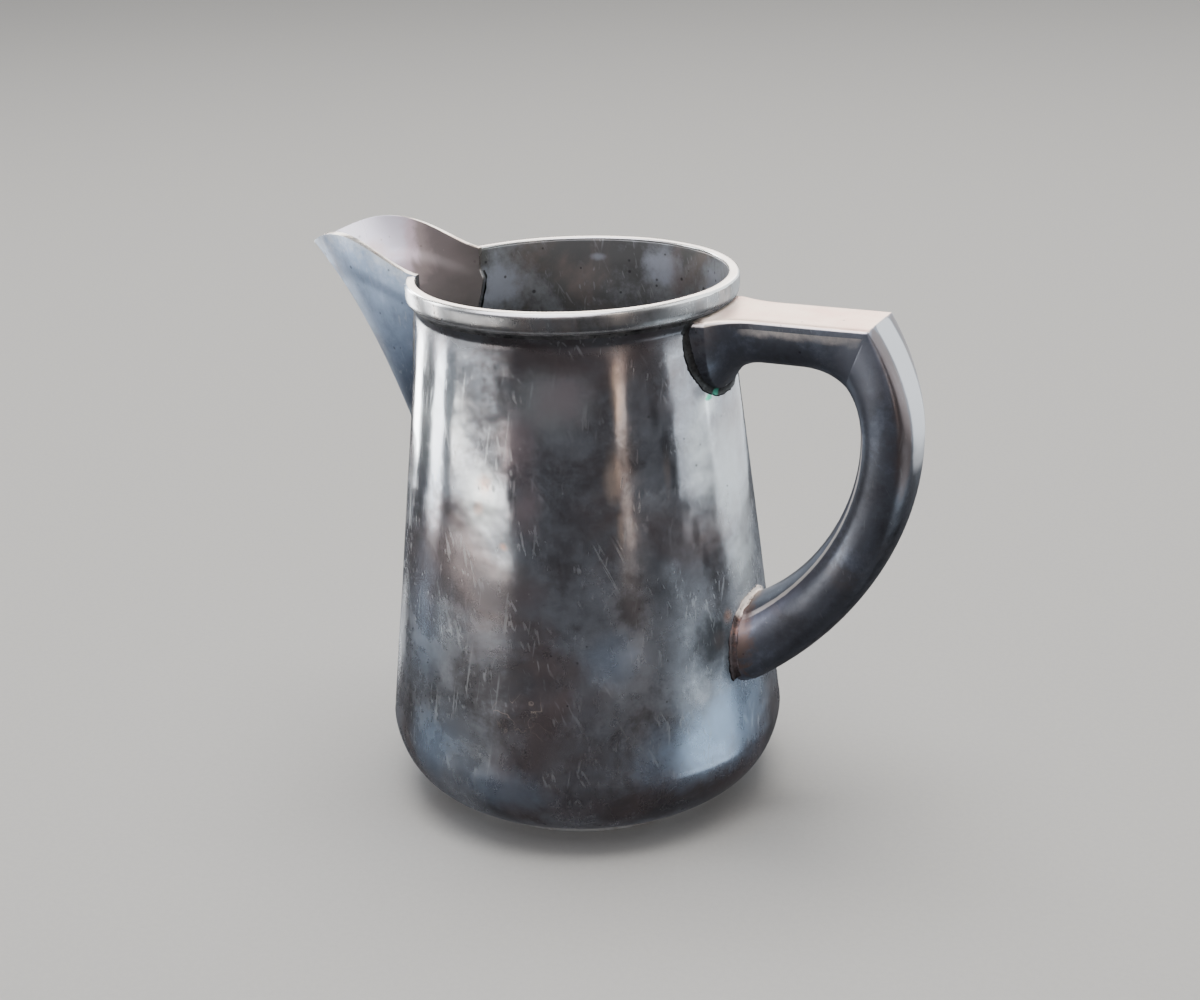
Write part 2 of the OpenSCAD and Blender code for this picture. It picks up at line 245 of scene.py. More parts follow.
def back_depth(u):
    """Depth of the handle's outer half at row u."""
    return BACK_FLAT + (BACK_ROUND - BACK_FLAT) * round_share(u)


def handle_row(u, across, deep):
    """Points of a section: across is along Y, deep is from the outer face inwards."""
    a, b = handle_station(u)
    p = a + (b - a) * (deep / np.linalg.norm(b - a))[:, None]
    x = p[:, 0]
    ends = max(0.0, 1 - u / 0.5, 1 - (LAST_ROW - u) / 0.5)
    if ends > 0:
        seated = np.sqrt(wall_r(p[:, 1]) ** 2 - across**2) - 0.15 * MM
        x = x + (seated - x) * ends
    return np.stack([x, across, p[:, 1]], -1)


def back_row(u, columns):
    """A row of points across the handle's outer half."""
    t = np.linspace(-1, 1, columns)
    v = 1 - (1 - np.abs(t)) ** 2.4
    n = 7 + (2.3 - 7) * round_share(u)
    edge = back_depth(u)
    return handle_row(u, np.sign(t) * v * half_w(u), edge - edge * (1 - v**n) ** (1 / n))


def belly_row(u, columns):
    """A row of points round the handle's inner half."""
    a = np.linspace(0, np.pi, columns)
    out, inner = handle_station(u)
    top = back_depth(u)
    depth = np.linalg.norm(inner - out)
    k = 2 / 2.5
    across = -np.sign(np.cos(a)) * np.abs(np.cos(a)) ** k * half_w(u)
    return handle_row(u, across, top + (depth - top) * np.abs(np.sin(a)) ** k)


# ---------- Mesh helpers ----------


def link(mesh, name):
    obj = bpy.data.objects.new(name, mesh)
    bpy.context.scene.collection.objects.link(obj)
    return obj


def grid_object(name, points, closed_rows=False, closed_columns=False, masks=None, flip=False,
                edge_strips=0, caps=None):
    """A smooth object from a grid of points, with named 0 to 1 masks on its vertices.
    edge_strips closes the two side edges between the first and the second half of the rows.
    caps closes the grid's two open ends, at its first and last "rows" or "columns"."""
    points = np.asarray(points, float)
    rows, columns = points.shape[:2]
    index = np.arange(rows * columns).reshape(rows, columns)
    if closed_rows:
        index = np.vstack([index, index[:1]])
    if closed_columns:
        index = np.hstack([index, index[:, :1]])
    corners = (index[:-1, :-1], index[:-1, 1:], index[1:, 1:], index[1:, :-1])
    quads = np.stack(corners, -1).reshape(-1, 4)
    for i in range(edge_strips - 1):
        here, there = rows - 1 - i, rows - 2 - i
        strips = [[index[i, 0], index[i + 1, 0], index[there, 0], index[here, 0]],
                  [index[i, -1], index[here, -1], index[there, -1], index[i + 1, -1]]]
        gap = np.linalg.norm(points[i + 1, 0] - points[i + 1, -1])
        if gap > 0.05 * MM:
            quads = np.vstack([quads, strips])
    faces = quads.tolist()
    if caps == "rows":
        faces += [index[0, :columns][::-1].tolist(), index[-1, :columns].tolist()]
    if caps == "columns":
        faces += [index[:rows, 0].tolist(), index[:rows, -1][::-1].tolist()]
    if flip:
        faces = [face[::-1] for face in faces]
    mesh = bpy.data.meshes.new(name)
    mesh.from_pydata(points.reshape(-1, 3).tolist(), [], faces)
    for key, values in (masks or {}).items():
        made = mesh.attributes.new(key, "FLOAT", "POINT")
        spread = np.broadcast_to(values, (rows, columns)).astype(np.float32)
        made.data.foreach_set("value", spread.ravel())
    mesh.shade_smooth()
    return link(mesh, name)


def ripple(point, size, seed):
    """Smooth seeded noise from -1 to 1 at a point."""
    return noise.noise(Vector(point) / size + Vector((seed, seed * 1.7, seed * 0.3)))


def dented(points, inward, deepest, size, seed):
    """Points pushed inwards by up to deepest, in soft dents about size across."""
    points = np.array(points, float)
    flat = points.reshape(-1, 3)
    push = np.array([0.5 + 0.5 * ripple(p, size, seed) for p in flat.tolist()])
    small = np.array([0.5 + 0.5 * ripple(p, size * 0.4, seed + 5) for p in flat.tolist()])
    depth = deepest * (0.75 * push + 0.25 * small)
    return (flat + inward.reshape(-1, 3) * depth[:, None]).reshape(points.shape)


def inward_axis(points):
    """Unit vectors from the points to the body's axis."""
    out = np.array(points, float)
    out[..., 2] = 0
    return -out / np.maximum(np.linalg.norm(out, axis=-1, keepdims=True), 1e-9)


def lathe(outline, angles):
    """A grid: a row for each (radius, height) of the outline, a column for each angle."""
    outline = np.asarray(outline, float)
    r, z = outline[:, :1], outline[:, 1:]
    turn = angles[None, :] if angles.ndim == 1 else angles
    return np.stack([r * np.cos(turn), r * np.sin(turn), z + 0 * turn], -1)


def full_turn(count):
    return np.linspace(-np.pi, np.pi, count, endpoint=False)


def rounded_loop(corners, radii, steps=5):
    """A closed outline through the corners, each rounded by its own radius."""
    corners = [np.array(c, float) for c in corners]
    out = []
    for i, (corner, radius) in enumerate(zip(corners, radii)):
        before = corners[i - 1] - corner
        after = corners[(i + 1) % len(corners)] - corner
        reach_a = min(radius, np.linalg.norm(before) * 0.49)
        reach_b = min(radius, np.linalg.norm(after) * 0.49)
        a = corner + before / np.linalg.norm(before) * reach_a
        b = corner + after / np.linalg.norm(after) * reach_b
        for t in np.linspace(0, 1, steps if radius else 1):
            out.append((1 - t) ** 2 * a + 2 * (1 - t) * t * corner + t**2 * b)
    return np.array(out)


def thicken(obj, thickness, inside_slot=0, edge_slot=0, edge_round=0.0, even=True):
    """Gives a sheet its thickness, inwards, and rounds its edges."""
    solid = obj.modifiers.new("Sheet metal", "SOLIDIFY")
    solid.thickness = thickness
    solid.offset = -1
    solid.use_even_offset = even
    solid.material_offset = inside_slot
    solid.material_offset_rim = edge_slot
    if edge_round:
        bevel(obj, edge_round)


def bevel(obj, width, segments=3):
    rounding = obj.modifiers.new("Rounded edges", "BEVEL")
    rounding.width = width
    rounding.segments = segments
    rounding.limit_method = "ANGLE"
    rounding.angle_limit = np.radians(50)
    rounding.harden_normals = False


def crisp(obj, angle=70):
    """Keeps the shading of a sheet's face apart from that of its cut edge."""
    split = obj.modifiers.new("Crisp edges", "EDGE_SPLIT")
    split.split_angle = np.radians(angle)
    split.use_edge_sharp = False


def weld(obj, distance=0.004 * MM):
    join = obj.modifiers.new("Closed seam", "WELD")
    join.merge_threshold = distance


def seat(obj, slot, *nodes, materials):
    """Makes the object ride on the jug, stand for its parts and wear its materials."""
    for material in materials:
        obj.data.materials.append(material)
    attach(obj, BODY)
    if nodes:
        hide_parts(*nodes)
    return obj


# ---------- Node helpers ----------


def add(tree, kind, values=None, **settings):
    """Adds a shader node. values fills its inputs, from sockets or constants."""
    made = tree.nodes.new("ShaderNode" + kind)
    for key, value in settings.items():
        setattr(made, key, value)
    for key, value in (values or {}).items():
        if isinstance(value, bpy.types.NodeSocket):
            tree.links.new(value, made.inputs[key])
        else:
            made.inputs[key].default_value = value
    return made


def calc(tree, operation, a, b=0.0, c=0.0, clamp=False):
    made = add(tree, "Math", {0: a, 1: b, 2: c}, operation=operation, use_clamp=clamp)
    return made.outputs[0]


def remap(tree, value, low, high, to_low=0.0, to_high=1.0):
    """The value's range from low to high, softened and clamped, onto another range."""
    made = add(tree, "MapRange", {"Value": value, "From Min": low, "From Max": high,
                                  "To Min": to_low, "To Max": to_high},
               interpolation_type="SMOOTHSTEP")
    return made.outputs["Result"]


def blend(tree, factor, a, b, mode="MIX"):
    """Two colours mixed by a factor."""
    made = add(tree, "Mix", {0: factor, 6: a, 7: b}, data_type="RGBA", blend_type=mode)
    return made.outputs[2]


def grain(tree, vector, scale, detail=4.0, rough=0.55, warp=0.0):
    made = add(tree, "TexNoise", {"Vector": vector, "Scale": scale, "Detail": detail,
                                  "Roughness": rough, "Distortion": warp})
    return made.outputs["Fac"]


def stretched(tree, vector, turn, scale):
    """Texture space turned and then stretched along its own axes."""
    made = add(tree, "Mapping", {"Vector": vector, "Rotation": turn, "Scale": scale},
               vector_type="TEXTURE")
    return made.outputs["Vector"]


def mask(tree, name):
    return add(tree, "Attribute", attribute_name=name).outputs["Fac"]


def ramp(tree, value, stops):
    """A colour ramp through (place, colour) stops."""
    made = add(tree, "ValToRGB", {"Fac": value})
    band = made.color_ramp
    band.interpolation = "EASE"
    while len(band.elements) < len(stops):
        band.elements.new(0.5)
    for element, (place, colour) in zip(band.elements, stops):
        element.position = place
        element.color = (*colour, 1.0)
    return made.outputs["Color"]


def new_group(name, inputs, outputs):
    """A shader node group with the sockets asked for. Returns it with its ends."""
    group = bpy.data.node_groups.new(name, "ShaderNodeTree")
    for label, kind, default in inputs:
        socket = group.interface.new_socket(label, in_out="INPUT", socket_type="NodeSocket" + kind)
        if default is not None:
            socket.default_value = default
    for label, kind in outputs:
        group.interface.new_socket(label, in_out="OUTPUT", socket_type="NodeSocket" + kind)
    return group, group.nodes.new("NodeGroupInput").outputs, group.nodes.new("NodeGroupOutput").inputs


def use(tree, name, **values):
    """Places a group in a tree. Its inputs are named with underscores for spaces."""
    made = tree.nodes.new("ShaderNodeGroup")
    made.node_tree = bpy.data.node_groups[name]
    for key, value in values.items():
        socket = made.inputs[key.replace("_", " ")]
        if isinstance(value, bpy.types.NodeSocket):
            tree.links.new(value, socket)
        else:
            socket.default_value = value
    return made.outputs


# ---------- Shared effects ----------


def tarnish_group():
    """Clouds and vertical runs of tarnish, from bare metal through a middle to a deep colour."""
    group, given, out = new_group(
        "Tarnish",
        [("Vector", "Vector", None), ("Size", "Float", 60.0), ("Amount", "Float", 0.0),
         ("Contrast", "Float", 1.0), ("Bare", "Color", (0.6, 0.6, 0.6, 1)),
         ("Middle", "Color", (0.3, 0.3, 0.33, 1)), ("Deep", "Color", (0.08, 0.07, 0.07, 1)),
         ("Warm", "Color", (0.25, 0.16, 0.13, 1))],
        [("Colour", "Color"), ("Depth", "Float")])
    clouds = grain(group, given["Vector"], given["Size"], 7.0, 0.6, 0.5)
    runs = grain(group, stretched(group, given["Vector"], (0, 0, 0), (1.0, 1.0, 7.0)),
                 calc(group, "MULTIPLY", given["Size"], 2.6), 4.0, 0.5)
    specks = grain(group, given["Vector"], calc(group, "MULTIPLY", given["Size"], 9.0), 5.0, 0.7)
    total = calc(group, "MULTIPLY_ADD", clouds, 1.5, -0.75)
    total = calc(group, "MULTIPLY_ADD", runs, 0.55, calc(group, "ADD", total, -0.275))
    total = calc(group, "MULTIPLY_ADD", specks, 0.5, calc(group, "ADD", total, -0.25))
    total = calc(group, "MULTIPLY", total, given["Contrast"])
    depth = calc(group, "ADD", calc(group, "ADD", total, given["Amount"]), 0.5, clamp=True)
    light = blend(group, remap(group, depth, 0.1, 0.5), given["Bare"], given["Middle"])
    colour = blend(group, remap(group, depth, 0.45, 0.9), light, given["Deep"])
    hue = grain(group, given["Vector"], calc(group, "MULTIPLY", given["Size"], 0.8), 5.0, 0.6, 0.8)
    colour = blend(group, remap(group, hue, 0.5, 0.72, 0.0, 0.75), colour, given["Warm"])
    group.links.new(colour, out["Colour"])
    group.links.new(depth, out["Depth"])


def scratches_group():
    """Hairline scratches in three directions, all nearer upright than level."""
    group, given, out = new_group(
        "Scratches",
        [("Vector", "Vector", None), ("Scale", "Float", 1500.0), ("Share", "Float", 0.3)],
        [("Mask", "Float")])
    start = calc(group, "MULTIPLY_ADD", given["Share"], -0.16, 0.76)
    end = calc(group, "ADD", start, 0.03)
    total = None
    for turn in ((0, 1.1, 0.4), (0, -1.2, 2.2), (0, 1.4, 3.9)):
        along = stretched(group, given["Vector"], turn, (26.0, 1.0, 1.0))
        fine = grain(group, along, given["Scale"], 1.0, 0.5)
        line = remap(group, fine, start, end)
        total = line if total is None else calc(group, "MAXIMUM", total, line)
    patchy = grain(group, given["Vector"], calc(group, "MULTIPLY", given["Scale"], 0.08), 3.0)
    group.links.new(calc(group, "MULTIPLY", total, remap(group, patchy, 0.42, 0.62)), out["Mask"])


def pits_group():
    """Scattered round pits or specks of uneven size."""
    group, given, out = new_group(
        "Pits",
        [("Vector", "Vector", None), ("Scale", "Float", 700.0), ("Size", "Float", 0.3),
         ("Share", "Float", 0.3)],
        [("Mask", "Float")])
    cells = add(group, "TexVoronoi", {"Vector": given["Vector"], "Scale": given["Scale"]})
    pick = add(group, "SeparateColor", {"Color": cells.outputs["Color"]})
    size = calc(group, "MULTIPLY", given["Size"], calc(group, "MULTIPLY_ADD", pick.outputs[1], 0.8, 0.3))
    dot = remap(group, cells.outputs["Distance"], size, calc(group, "MULTIPLY", size, 0.45), 0.0, 1.0)
    chosen = calc(group, "LESS_THAN", pick.outputs[0], given["Share"])
    group.links.new(calc(group, "MULTIPLY", dot, chosen), out["Mask"])


def spot_group():
    """A ragged patch around a point."""
    group, given, out = new_group(
        "Spot",
        [("Vector", "Vector", None), ("Centre", "Vector", None), ("Reach", "Vector", (0.01, 0.01, 0.01)),
         ("Ragged", "Float", 0.4), ("Grain", "Float", 300.0), ("Soft", "Float", 0.5)],
        [("Mask", "Float")])
    away = add(group, "VectorMath", {0: given["Vector"], 1: given["Centre"]}, operation="SUBTRACT")
    scaled = add(group, "VectorMath", {0: away.outputs[0], 1: given["Reach"]}, operation="DIVIDE")
    distance = add(group, "VectorMath", {0: scaled.outputs[0]}, operation="LENGTH").outputs["Value"]
    wobble = calc(group, "SUBTRACT", grain(group, given["Vector"], given["Grain"], 5.0, 0.65), 0.5)
    distance = calc(group, "MULTIPLY_ADD", wobble, calc(group, "MULTIPLY", given["Ragged"], 2.0), distance)
    inner = calc(group, "SUBTRACT", 1.0, given["Soft"])
    made = add(group, "MapRange", {"Value": distance, "From Min": 1.0, "From Max": inner,
                                   "To Min": 0.0, "To Max": 1.0}, interpolation_type="SMOOTHSTEP")
    group.links.new(made.outputs["Result"], out["Mask"])


def worked_metal_group():
    """Bump height of hand-worked metal: shallow waves, fine grain, scratches and pits."""
    group, given, out = new_group(
        "Worked metal",
        [("Vector", "Vector", None), ("Waves", "Float", 0.3), ("Scratches", "Float", 0.0),
         ("Pits", "Float", 0.0)],
        [("Height", "Float")])
    waves = grain(group, given["Vector"], 130.0, 2.0, 0.4)
    fine = grain(group, given["Vector"], 2600.0, 2.0, 0.5)
    total = calc(group, "MULTIPLY", waves, given["Waves"])
    total = calc(group, "MULTIPLY_ADD", fine, 0.0015, total)
    total = calc(group, "MULTIPLY_ADD", given["Scratches"], -0.005, total)
    total = calc(group, "MULTIPLY_ADD", given["Pits"], -0.012, total)
    group.links.new(total, out["Height"])


def make_groups():
    for build in (tarnish_group, scratches_group, pits_group, spot_group, worked_metal_group):
        build()


# ---------- Materials ----------


def start_material(name):
    """A new metal material. Returns it with its tree, its shader and object coordinates."""
    material = bpy.data.materials.new(name)
    material.use_nodes = True
    tree = material.node_tree
    shader = tree.nodes["Principled BSDF"]
    vector = add(tree, "TexCoord").outputs["Object"]
    return material, tree, shader, vector


def finish_metal(tree, shader, colour, rough, height, metallic=1.0, bump=0.35):
    """Joins a colour, a roughness and a bump height to the shader."""
    tree.links.new(colour, shader.inputs["Base Color"])
    tree.links.new(rough, shader.inputs["Roughness"])
    shader.inputs["Metallic"].default_value = metallic
    relief = add(tree, "Bump", {"Strength": bump, "Distance": 1.0 * MM, "Height": height})
    tree.links.new(relief.outputs["Normal"], shader.inputs["Normal"])


def rgba(colour):
    return (*colour[:3], 1.0)


def on_body(angle, height, lift=0.0):
    """A place on the body's outer face. The angle is from the handle, in degrees."""
    r = float(wall_r(height * MM)) + lift * MM
    return (r * np.cos(np.radians(angle)), r * np.sin(np.radians(angle)), height * MM)


def spot(tree, vector, place, reach, ragged=0.4, grain_scale=300.0, soft=0.5):
    reach = (reach, reach, reach) if isinstance(reach, (int, float)) else reach
    return use(tree, "Spot", Vector=vector, Centre=place, Reach=tuple(v * MM for v in reach),
               Ragged=ragged, Grain=grain_scale, Soft=soft)["Mask"]


def patches(tree, vector, colour, tint, places, ragged, grain_scale, soft, lift=0.0):
    """Lays ragged patches of one tint over a colour. Each place on the body is an angle and
    a height in degrees and millimetres, a reach and a strength."""
    for angle, height, reach, strength in places:
        patch = spot(tree, vector, on_body(angle, height, lift), reach, ragged, grain_scale, soft)
        colour = blend(tree, calc(tree, "MULTIPLY", patch, strength), colour, rgba(tint))
    return colour


def body_material(look):
    """Silver plate tarnished brown and purple in the middle, slate blue low down, with painted highlights,
    painted shade and painted reflections laid over it.
    """
    material, tree, shader, vector = start_material("Tarnished body")
    deep = use(tree, "Tarnish", Vector=vector, Size=48.0, Amount=0.1, Contrast=1.25,
               Bare=rgba(look.body_pale), Middle=rgba(look.body_middle), Deep=rgba(look.body_dark),
               Warm=rgba(look.body_warm))
    brown = remap(tree, grain(tree, vector, 38.0, 6.0, 0.62, 0.4), 0.48, 0.66, 0.0, 0.6)
    colour = blend(tree, brown, deep["Colour"], rgba(look.brown))
    # Blue-grey bloom. The large pale patches at the lower right also stand in for the sheet of light
    # mirrored there, a painted reflection.
    colour = patches(tree, vector, colour, look.slate, (
        (-31, 19, (16, 16, 10), 0.9), (-12, 26, (10, 10, 10), 0.6), (-114, 18, (11, 9, 9), 0.8),
        (-90, 13, (14, 10, 6), 0.45), (-122, 40, (9, 9, 17), 0.45), (-14, 20, (15, 15, 11), 1.0),
        (-53, 38, (8, 8, 7), 0.45), (60, 22, (16, 16, 12), 0.7), (125, 30, (16, 16, 15), 0.6)),
        0.55, 120.0, 0.9)
    # Rubbed silver, laid where the lamps' reflections fall, so partly a painted highlight.
    colour = patches(tree, vector, colour, look.pale_silver, (
        (-128, 77, (9, 9, 16), 0.85), (-96, 66, (5.5, 5, 9), 0.9), (-108, 78, (6, 6, 13), 0.45),
        (-72, 83, (10, 10, 8), 0.75), (-20, 72, (5, 5, 12), 0.6), (-6, 66, (10, 12, 19), 0.7),
        (-2, 48, (8, 9, 9), 0.75), (-14, 79, (4, 4, 3), 0.9), (75, 66, (9, 9, 17), 0.6)),
        0.35, 160.0, 0.95)
    colour = patches(tree, vector, colour, look.copper, (
        (-95, 68.5, (2.2, 2, 2.8), 0.6), (-97, 64, (1.8, 2, 2), 0.5), (-88, 58, (1.3, 1.5, 1.1), 0.7),
        (-15, 40.5, (1.6, 1.8, 1.9), 0.85), (-20, 37, (2.2, 2.4, 2.6), 0.4)),
        0.4, 420.0, 0.95)
    colour = patches(tree, vector, colour, look.rose, (
        (-83, 76, (5, 5, 10), 0.7), (-80, 65, (4, 4, 8), 0.7), (-68, 84, (7, 7, 6), 0.7)),
        0.5, 220.0, 0.95)
    # Painted reflection: warm upright streaks where the warm strip of light shows in the body.
    colour = patches(tree, vector, colour, look.warm_streak, (
        (-50, 84, (1.5, 1.6, 9), 0.7), (-52.8, 70, (2.2, 2.2, 6), 0.85), (-51, 61, (0.9, 1, 6), 0.6),
        (-34, 70, (1, 1.2, 8), 0.35)),
        0.35, 230.0, 0.85)
    # Painted shade: darker patches between the bright reflections.
    colour = patches(tree, vector, colour, look.body_dark, (
        (-101, 82, (4.5, 4.5, 6), 0.6), (-88, 84, (3, 3, 5), 0.45), (-92, 49, (8, 8, 6), 0.6),
        (-66, 62, (7, 7, 11), 0.3)),
        0.5, 200.0, 0.9)
    # Painted dark reflections: near-black patches where the metal mirrors something dark, and a diagonal
    # dark streak painted as the handle's reflection, since the handle is kept out of reflections.
    streak = [(-37 + 3 * i, 80 - 5.5 * i, (1.4, 1.4, 4.5), 0.5) for i in range(7)]
    colour = patches(tree, vector, colour, look.black, (
        (-22, 37, (7, 7, 9), 0.85), (-14, 31, (5, 5, 4), 0.7), (-15, 82, (4, 4, 2.5), 0.5),
        (-40, 52, (5, 5, 12), 0.3), *streak, (22, 36, (5, 5, 7), 0.7)),
        0.5, 260.0, 0.8)
    verdigris = spot(tree, vector, on_body(-12.5, 80.3), (1.0, 1.2, 0.7), 0.6, 900.0, 0.4)
    colour = blend(tree, verdigris, colour, rgba(look.verdigris))
    height_up = add(tree, "SeparateXYZ", {"Vector": vector}).outputs["Z"]
    # Painted shade: the wall darkens towards black just under the moulding, in the cove.
    cove = remap(tree, height_up, FLARE_Z - 4 * MM, FLARE_Z + 0.5 * MM, 0.0, 0.5)
    colour = blend(tree, cove, colour, rgba(look.black))
    lines = use(tree, "Scratches", Vector=vector, Scale=1460.0, Share=0.55)["Mask"]
    colour = blend(tree, calc(tree, "MULTIPLY", lines, 0.22), colour, rgba(look.pale_silver))
    squiggle_area = spot(tree, vector, on_body(-81, 27), (7, 7, 5), 0.4, 300.0, 0.5)
    vein = calc(tree, "ABSOLUTE", calc(tree, "SUBTRACT", grain(tree, vector, 260.0, 2.0, 0.5, 0.6), 0.5))
    squiggle = calc(tree, "MULTIPLY", remap(tree, vein, 0.012, 0.003), squiggle_area)
    colour = blend(tree, calc(tree, "MULTIPLY", squiggle, 0.8), colour, rgba(look.warm_streak))
    pits = use(tree, "Pits", Vector=vector, Scale=700.0, Size=0.2, Share=0.07)["Mask"]
    colour = blend(tree, calc(tree, "MULTIPLY", pits, 0.6), colour, rgba(look.black))
    bright = use(tree, "Pits", Vector=vector, Scale=1000.0, Size=0.16, Share=0.025)["Mask"]
    colour = blend(tree, calc(tree, "MULTIPLY", bright, 0.55), colour, rgba(look.pale_silver))
    smudge = grain(tree, vector, 95.0, 6.0, 0.65, 0.3)
    low = remap(tree, height_up, 76 * MM, 34 * MM, 0.0, 0.14)
    rough = calc(tree, "MULTIPLY_ADD", remap(tree, smudge, 0.4, 0.7), 0.1, look.body_gloss)
    rough = calc(tree, "ADD", rough, calc(tree, "MULTIPLY_ADD", cove, 0.3, low))
    rough = calc(tree, "MULTIPLY_ADD", lines, 0.1, rough, clamp=True)
    height = use(tree, "Worked metal", Vector=vector, Waves=0.35, Scratches=lines, Pits=pits)["Height"]
    finish_metal(tree, shader, colour, rough, height, metallic=0.86)
    return material


def bowl_material(look):
    """The unpolished inside of the bowl: dark, with grey bloom and a coppery run."""
    material, tree, shader, vector = start_material("Bowl inside")
    deep = use(tree, "Tarnish", Vector=vector, Size=42.0, Amount=0.28, Contrast=1.25,
               Bare=(0.78, 0.84, 0.90, 1), Middle=(0.44, 0.46, 0.49, 1), Deep=(0.17, 0.17, 0.165, 1),
               Warm=(0.34, 0.28, 0.25, 1))
    colour = patches(tree, vector, deep["Colour"], (0.74, 0.80, 0.92), (
        (148, 91, (8, 8, 7), 0.8), (78, 94, (6, 6, 5), 0.7), (106, 95, (2, 2, 1), 0.4),
        (45, 92, (8, 8, 8), 0.5)), 0.7, 260.0, 0.8, lift=-1)
    colour = patches(tree, vector, colour, (0.45, 0.27, 0.18), ((67, 93, (0.8, 0.6, 7), 0.9),),
                     0.5, 420.0, 0.6, lift=-1)
    colour = patches(tree, vector, colour, (0.28, 0.16, 0.13), ((72, 93, (3, 2, 7), 0.35),),
                     0.5, 300.0, 0.9, lift=-1)
    lines = use(tree, "Scratches", Vector=vector, Scale=1460.0, Share=0.5)["Mask"]
    colour = blend(tree, calc(tree, "MULTIPLY", lines, 0.45), colour, (0.5, 0.52, 0.52, 1))
    pits = use(tree, "Pits", Vector=vector, Scale=520.0, Size=0.3, Share=0.3)["Mask"]
    colour = blend(tree, calc(tree, "MULTIPLY", pits, 0.7), colour, (0.02, 0.02, 0.02, 1))
    rough = calc(tree, "MULTIPLY_ADD", deep["Depth"], 0.22, 0.28, clamp=True)
    height = use(tree, "Worked metal", Vector=vector, Waves=0.5, Scratches=lines, Pits=pits)["Height"]
    finish_metal(tree, shader, colour, rough, height, metallic=0.55)
    return material


def rim_material(look):
    """The moulding: grey face, worn bright along its top and its lower edge, the lower edge's bright line
    partly a painted highlight, with painted shade on its underside.
    """
    material, tree, shader, vector = start_material("Worn rim")
    deep = use(tree, "Tarnish", Vector=vector, Size=90.0, Amount=0.0, Contrast=0.8,
               Bare=(0.62, 0.62, 0.60, 1), Middle=(0.30, 0.30, 0.305, 1), Deep=(0.13, 0.125, 0.12, 1),
               Warm=(0.42, 0.34, 0.30, 1))
    lines = use(tree, "Scratches", Vector=vector, Scale=1760.0, Share=0.45)["Mask"]
    colour = blend(tree, calc(tree, "MULTIPLY", lines, 0.35), deep["Colour"], rgba(look.bright))
    ragged = grain(tree, vector, 420.0, 4.0, 0.6)
    # Worn bright along the top. Along the rounded lower edge the bright line is partly wear and partly a
    # painted highlight.
    worn = calc(tree, "MULTIPLY_ADD", calc(tree, "SUBTRACT", ragged, 0.5), 0.9, mask(tree, "wear"))
    worn = remap(tree, worn, 0.35, 0.75)
    colour = blend(tree, worn, colour, rgba(look.bright))
    # Painted shade: the moulding's underside darkens towards black.
    shaded = calc(tree, "ADD", mask(tree, "shade"), calc(tree, "SUBTRACT", ragged, 0.5))
    hidden = remap(tree, shaded, 0.4, 0.9)
    colour = blend(tree, calc(tree, "MULTIPLY", hidden, 0.8), colour, rgba(look.black))
    pits = use(tree, "Pits", Vector=vector, Scale=700.0, Size=0.2, Share=0.15)["Mask"]
    colour = blend(tree, calc(tree, "MULTIPLY", pits, 0.6), colour, rgba(look.black))
    rough = calc(tree, "MULTIPLY_ADD", worn, -0.06, calc(tree, "MULTIPLY_ADD", deep["Depth"], 0.16, 0.2))
    height = use(tree, "Worked metal", Vector=vector, Waves=0.25, Scratches=lines, Pits=pits)["Height"]
    finish_metal(tree, shader, colour, rough, height, metallic=0.95, bump=0.3)
    return material


def silver_material(name, look, base, amount=0.0, metallic=1.0):
    """Worn silver with a little grime, for the foot and the lip's edge."""
    material, tree, shader, vector = start_material(name)
    deep = use(tree, "Tarnish", Vector=vector, Size=150.0, Amount=amount, Contrast=0.9,
               Bare=rgba(look.bright), Middle=rgba(base), Deep=(0.16, 0.15, 0.15, 1),
               Warm=(0.5, 0.42, 0.36, 1))
    lines = use(tree, "Scratches", Vector=vector, Scale=2000.0, Share=0.5)["Mask"]
    pits = use(tree, "Pits", Vector=vector, Scale=900.0, Size=0.25, Share=0.2)["Mask"]
    colour = blend(tree, calc(tree, "MULTIPLY", pits, 0.5), deep["Colour"], rgba(look.black))
    colour = blend(tree, calc(tree, "MULTIPLY", lines, 0.3), colour, rgba(look.bright))
    rough = calc(tree, "MULTIPLY_ADD", deep["Depth"], 0.2, 0.18)
    height = use(tree, "Worked metal", Vector=vector, Waves=0.2, Scratches=lines, Pits=pits)["Height"]
    finish_metal(tree, shader, colour, rough, height, metallic)
    return material


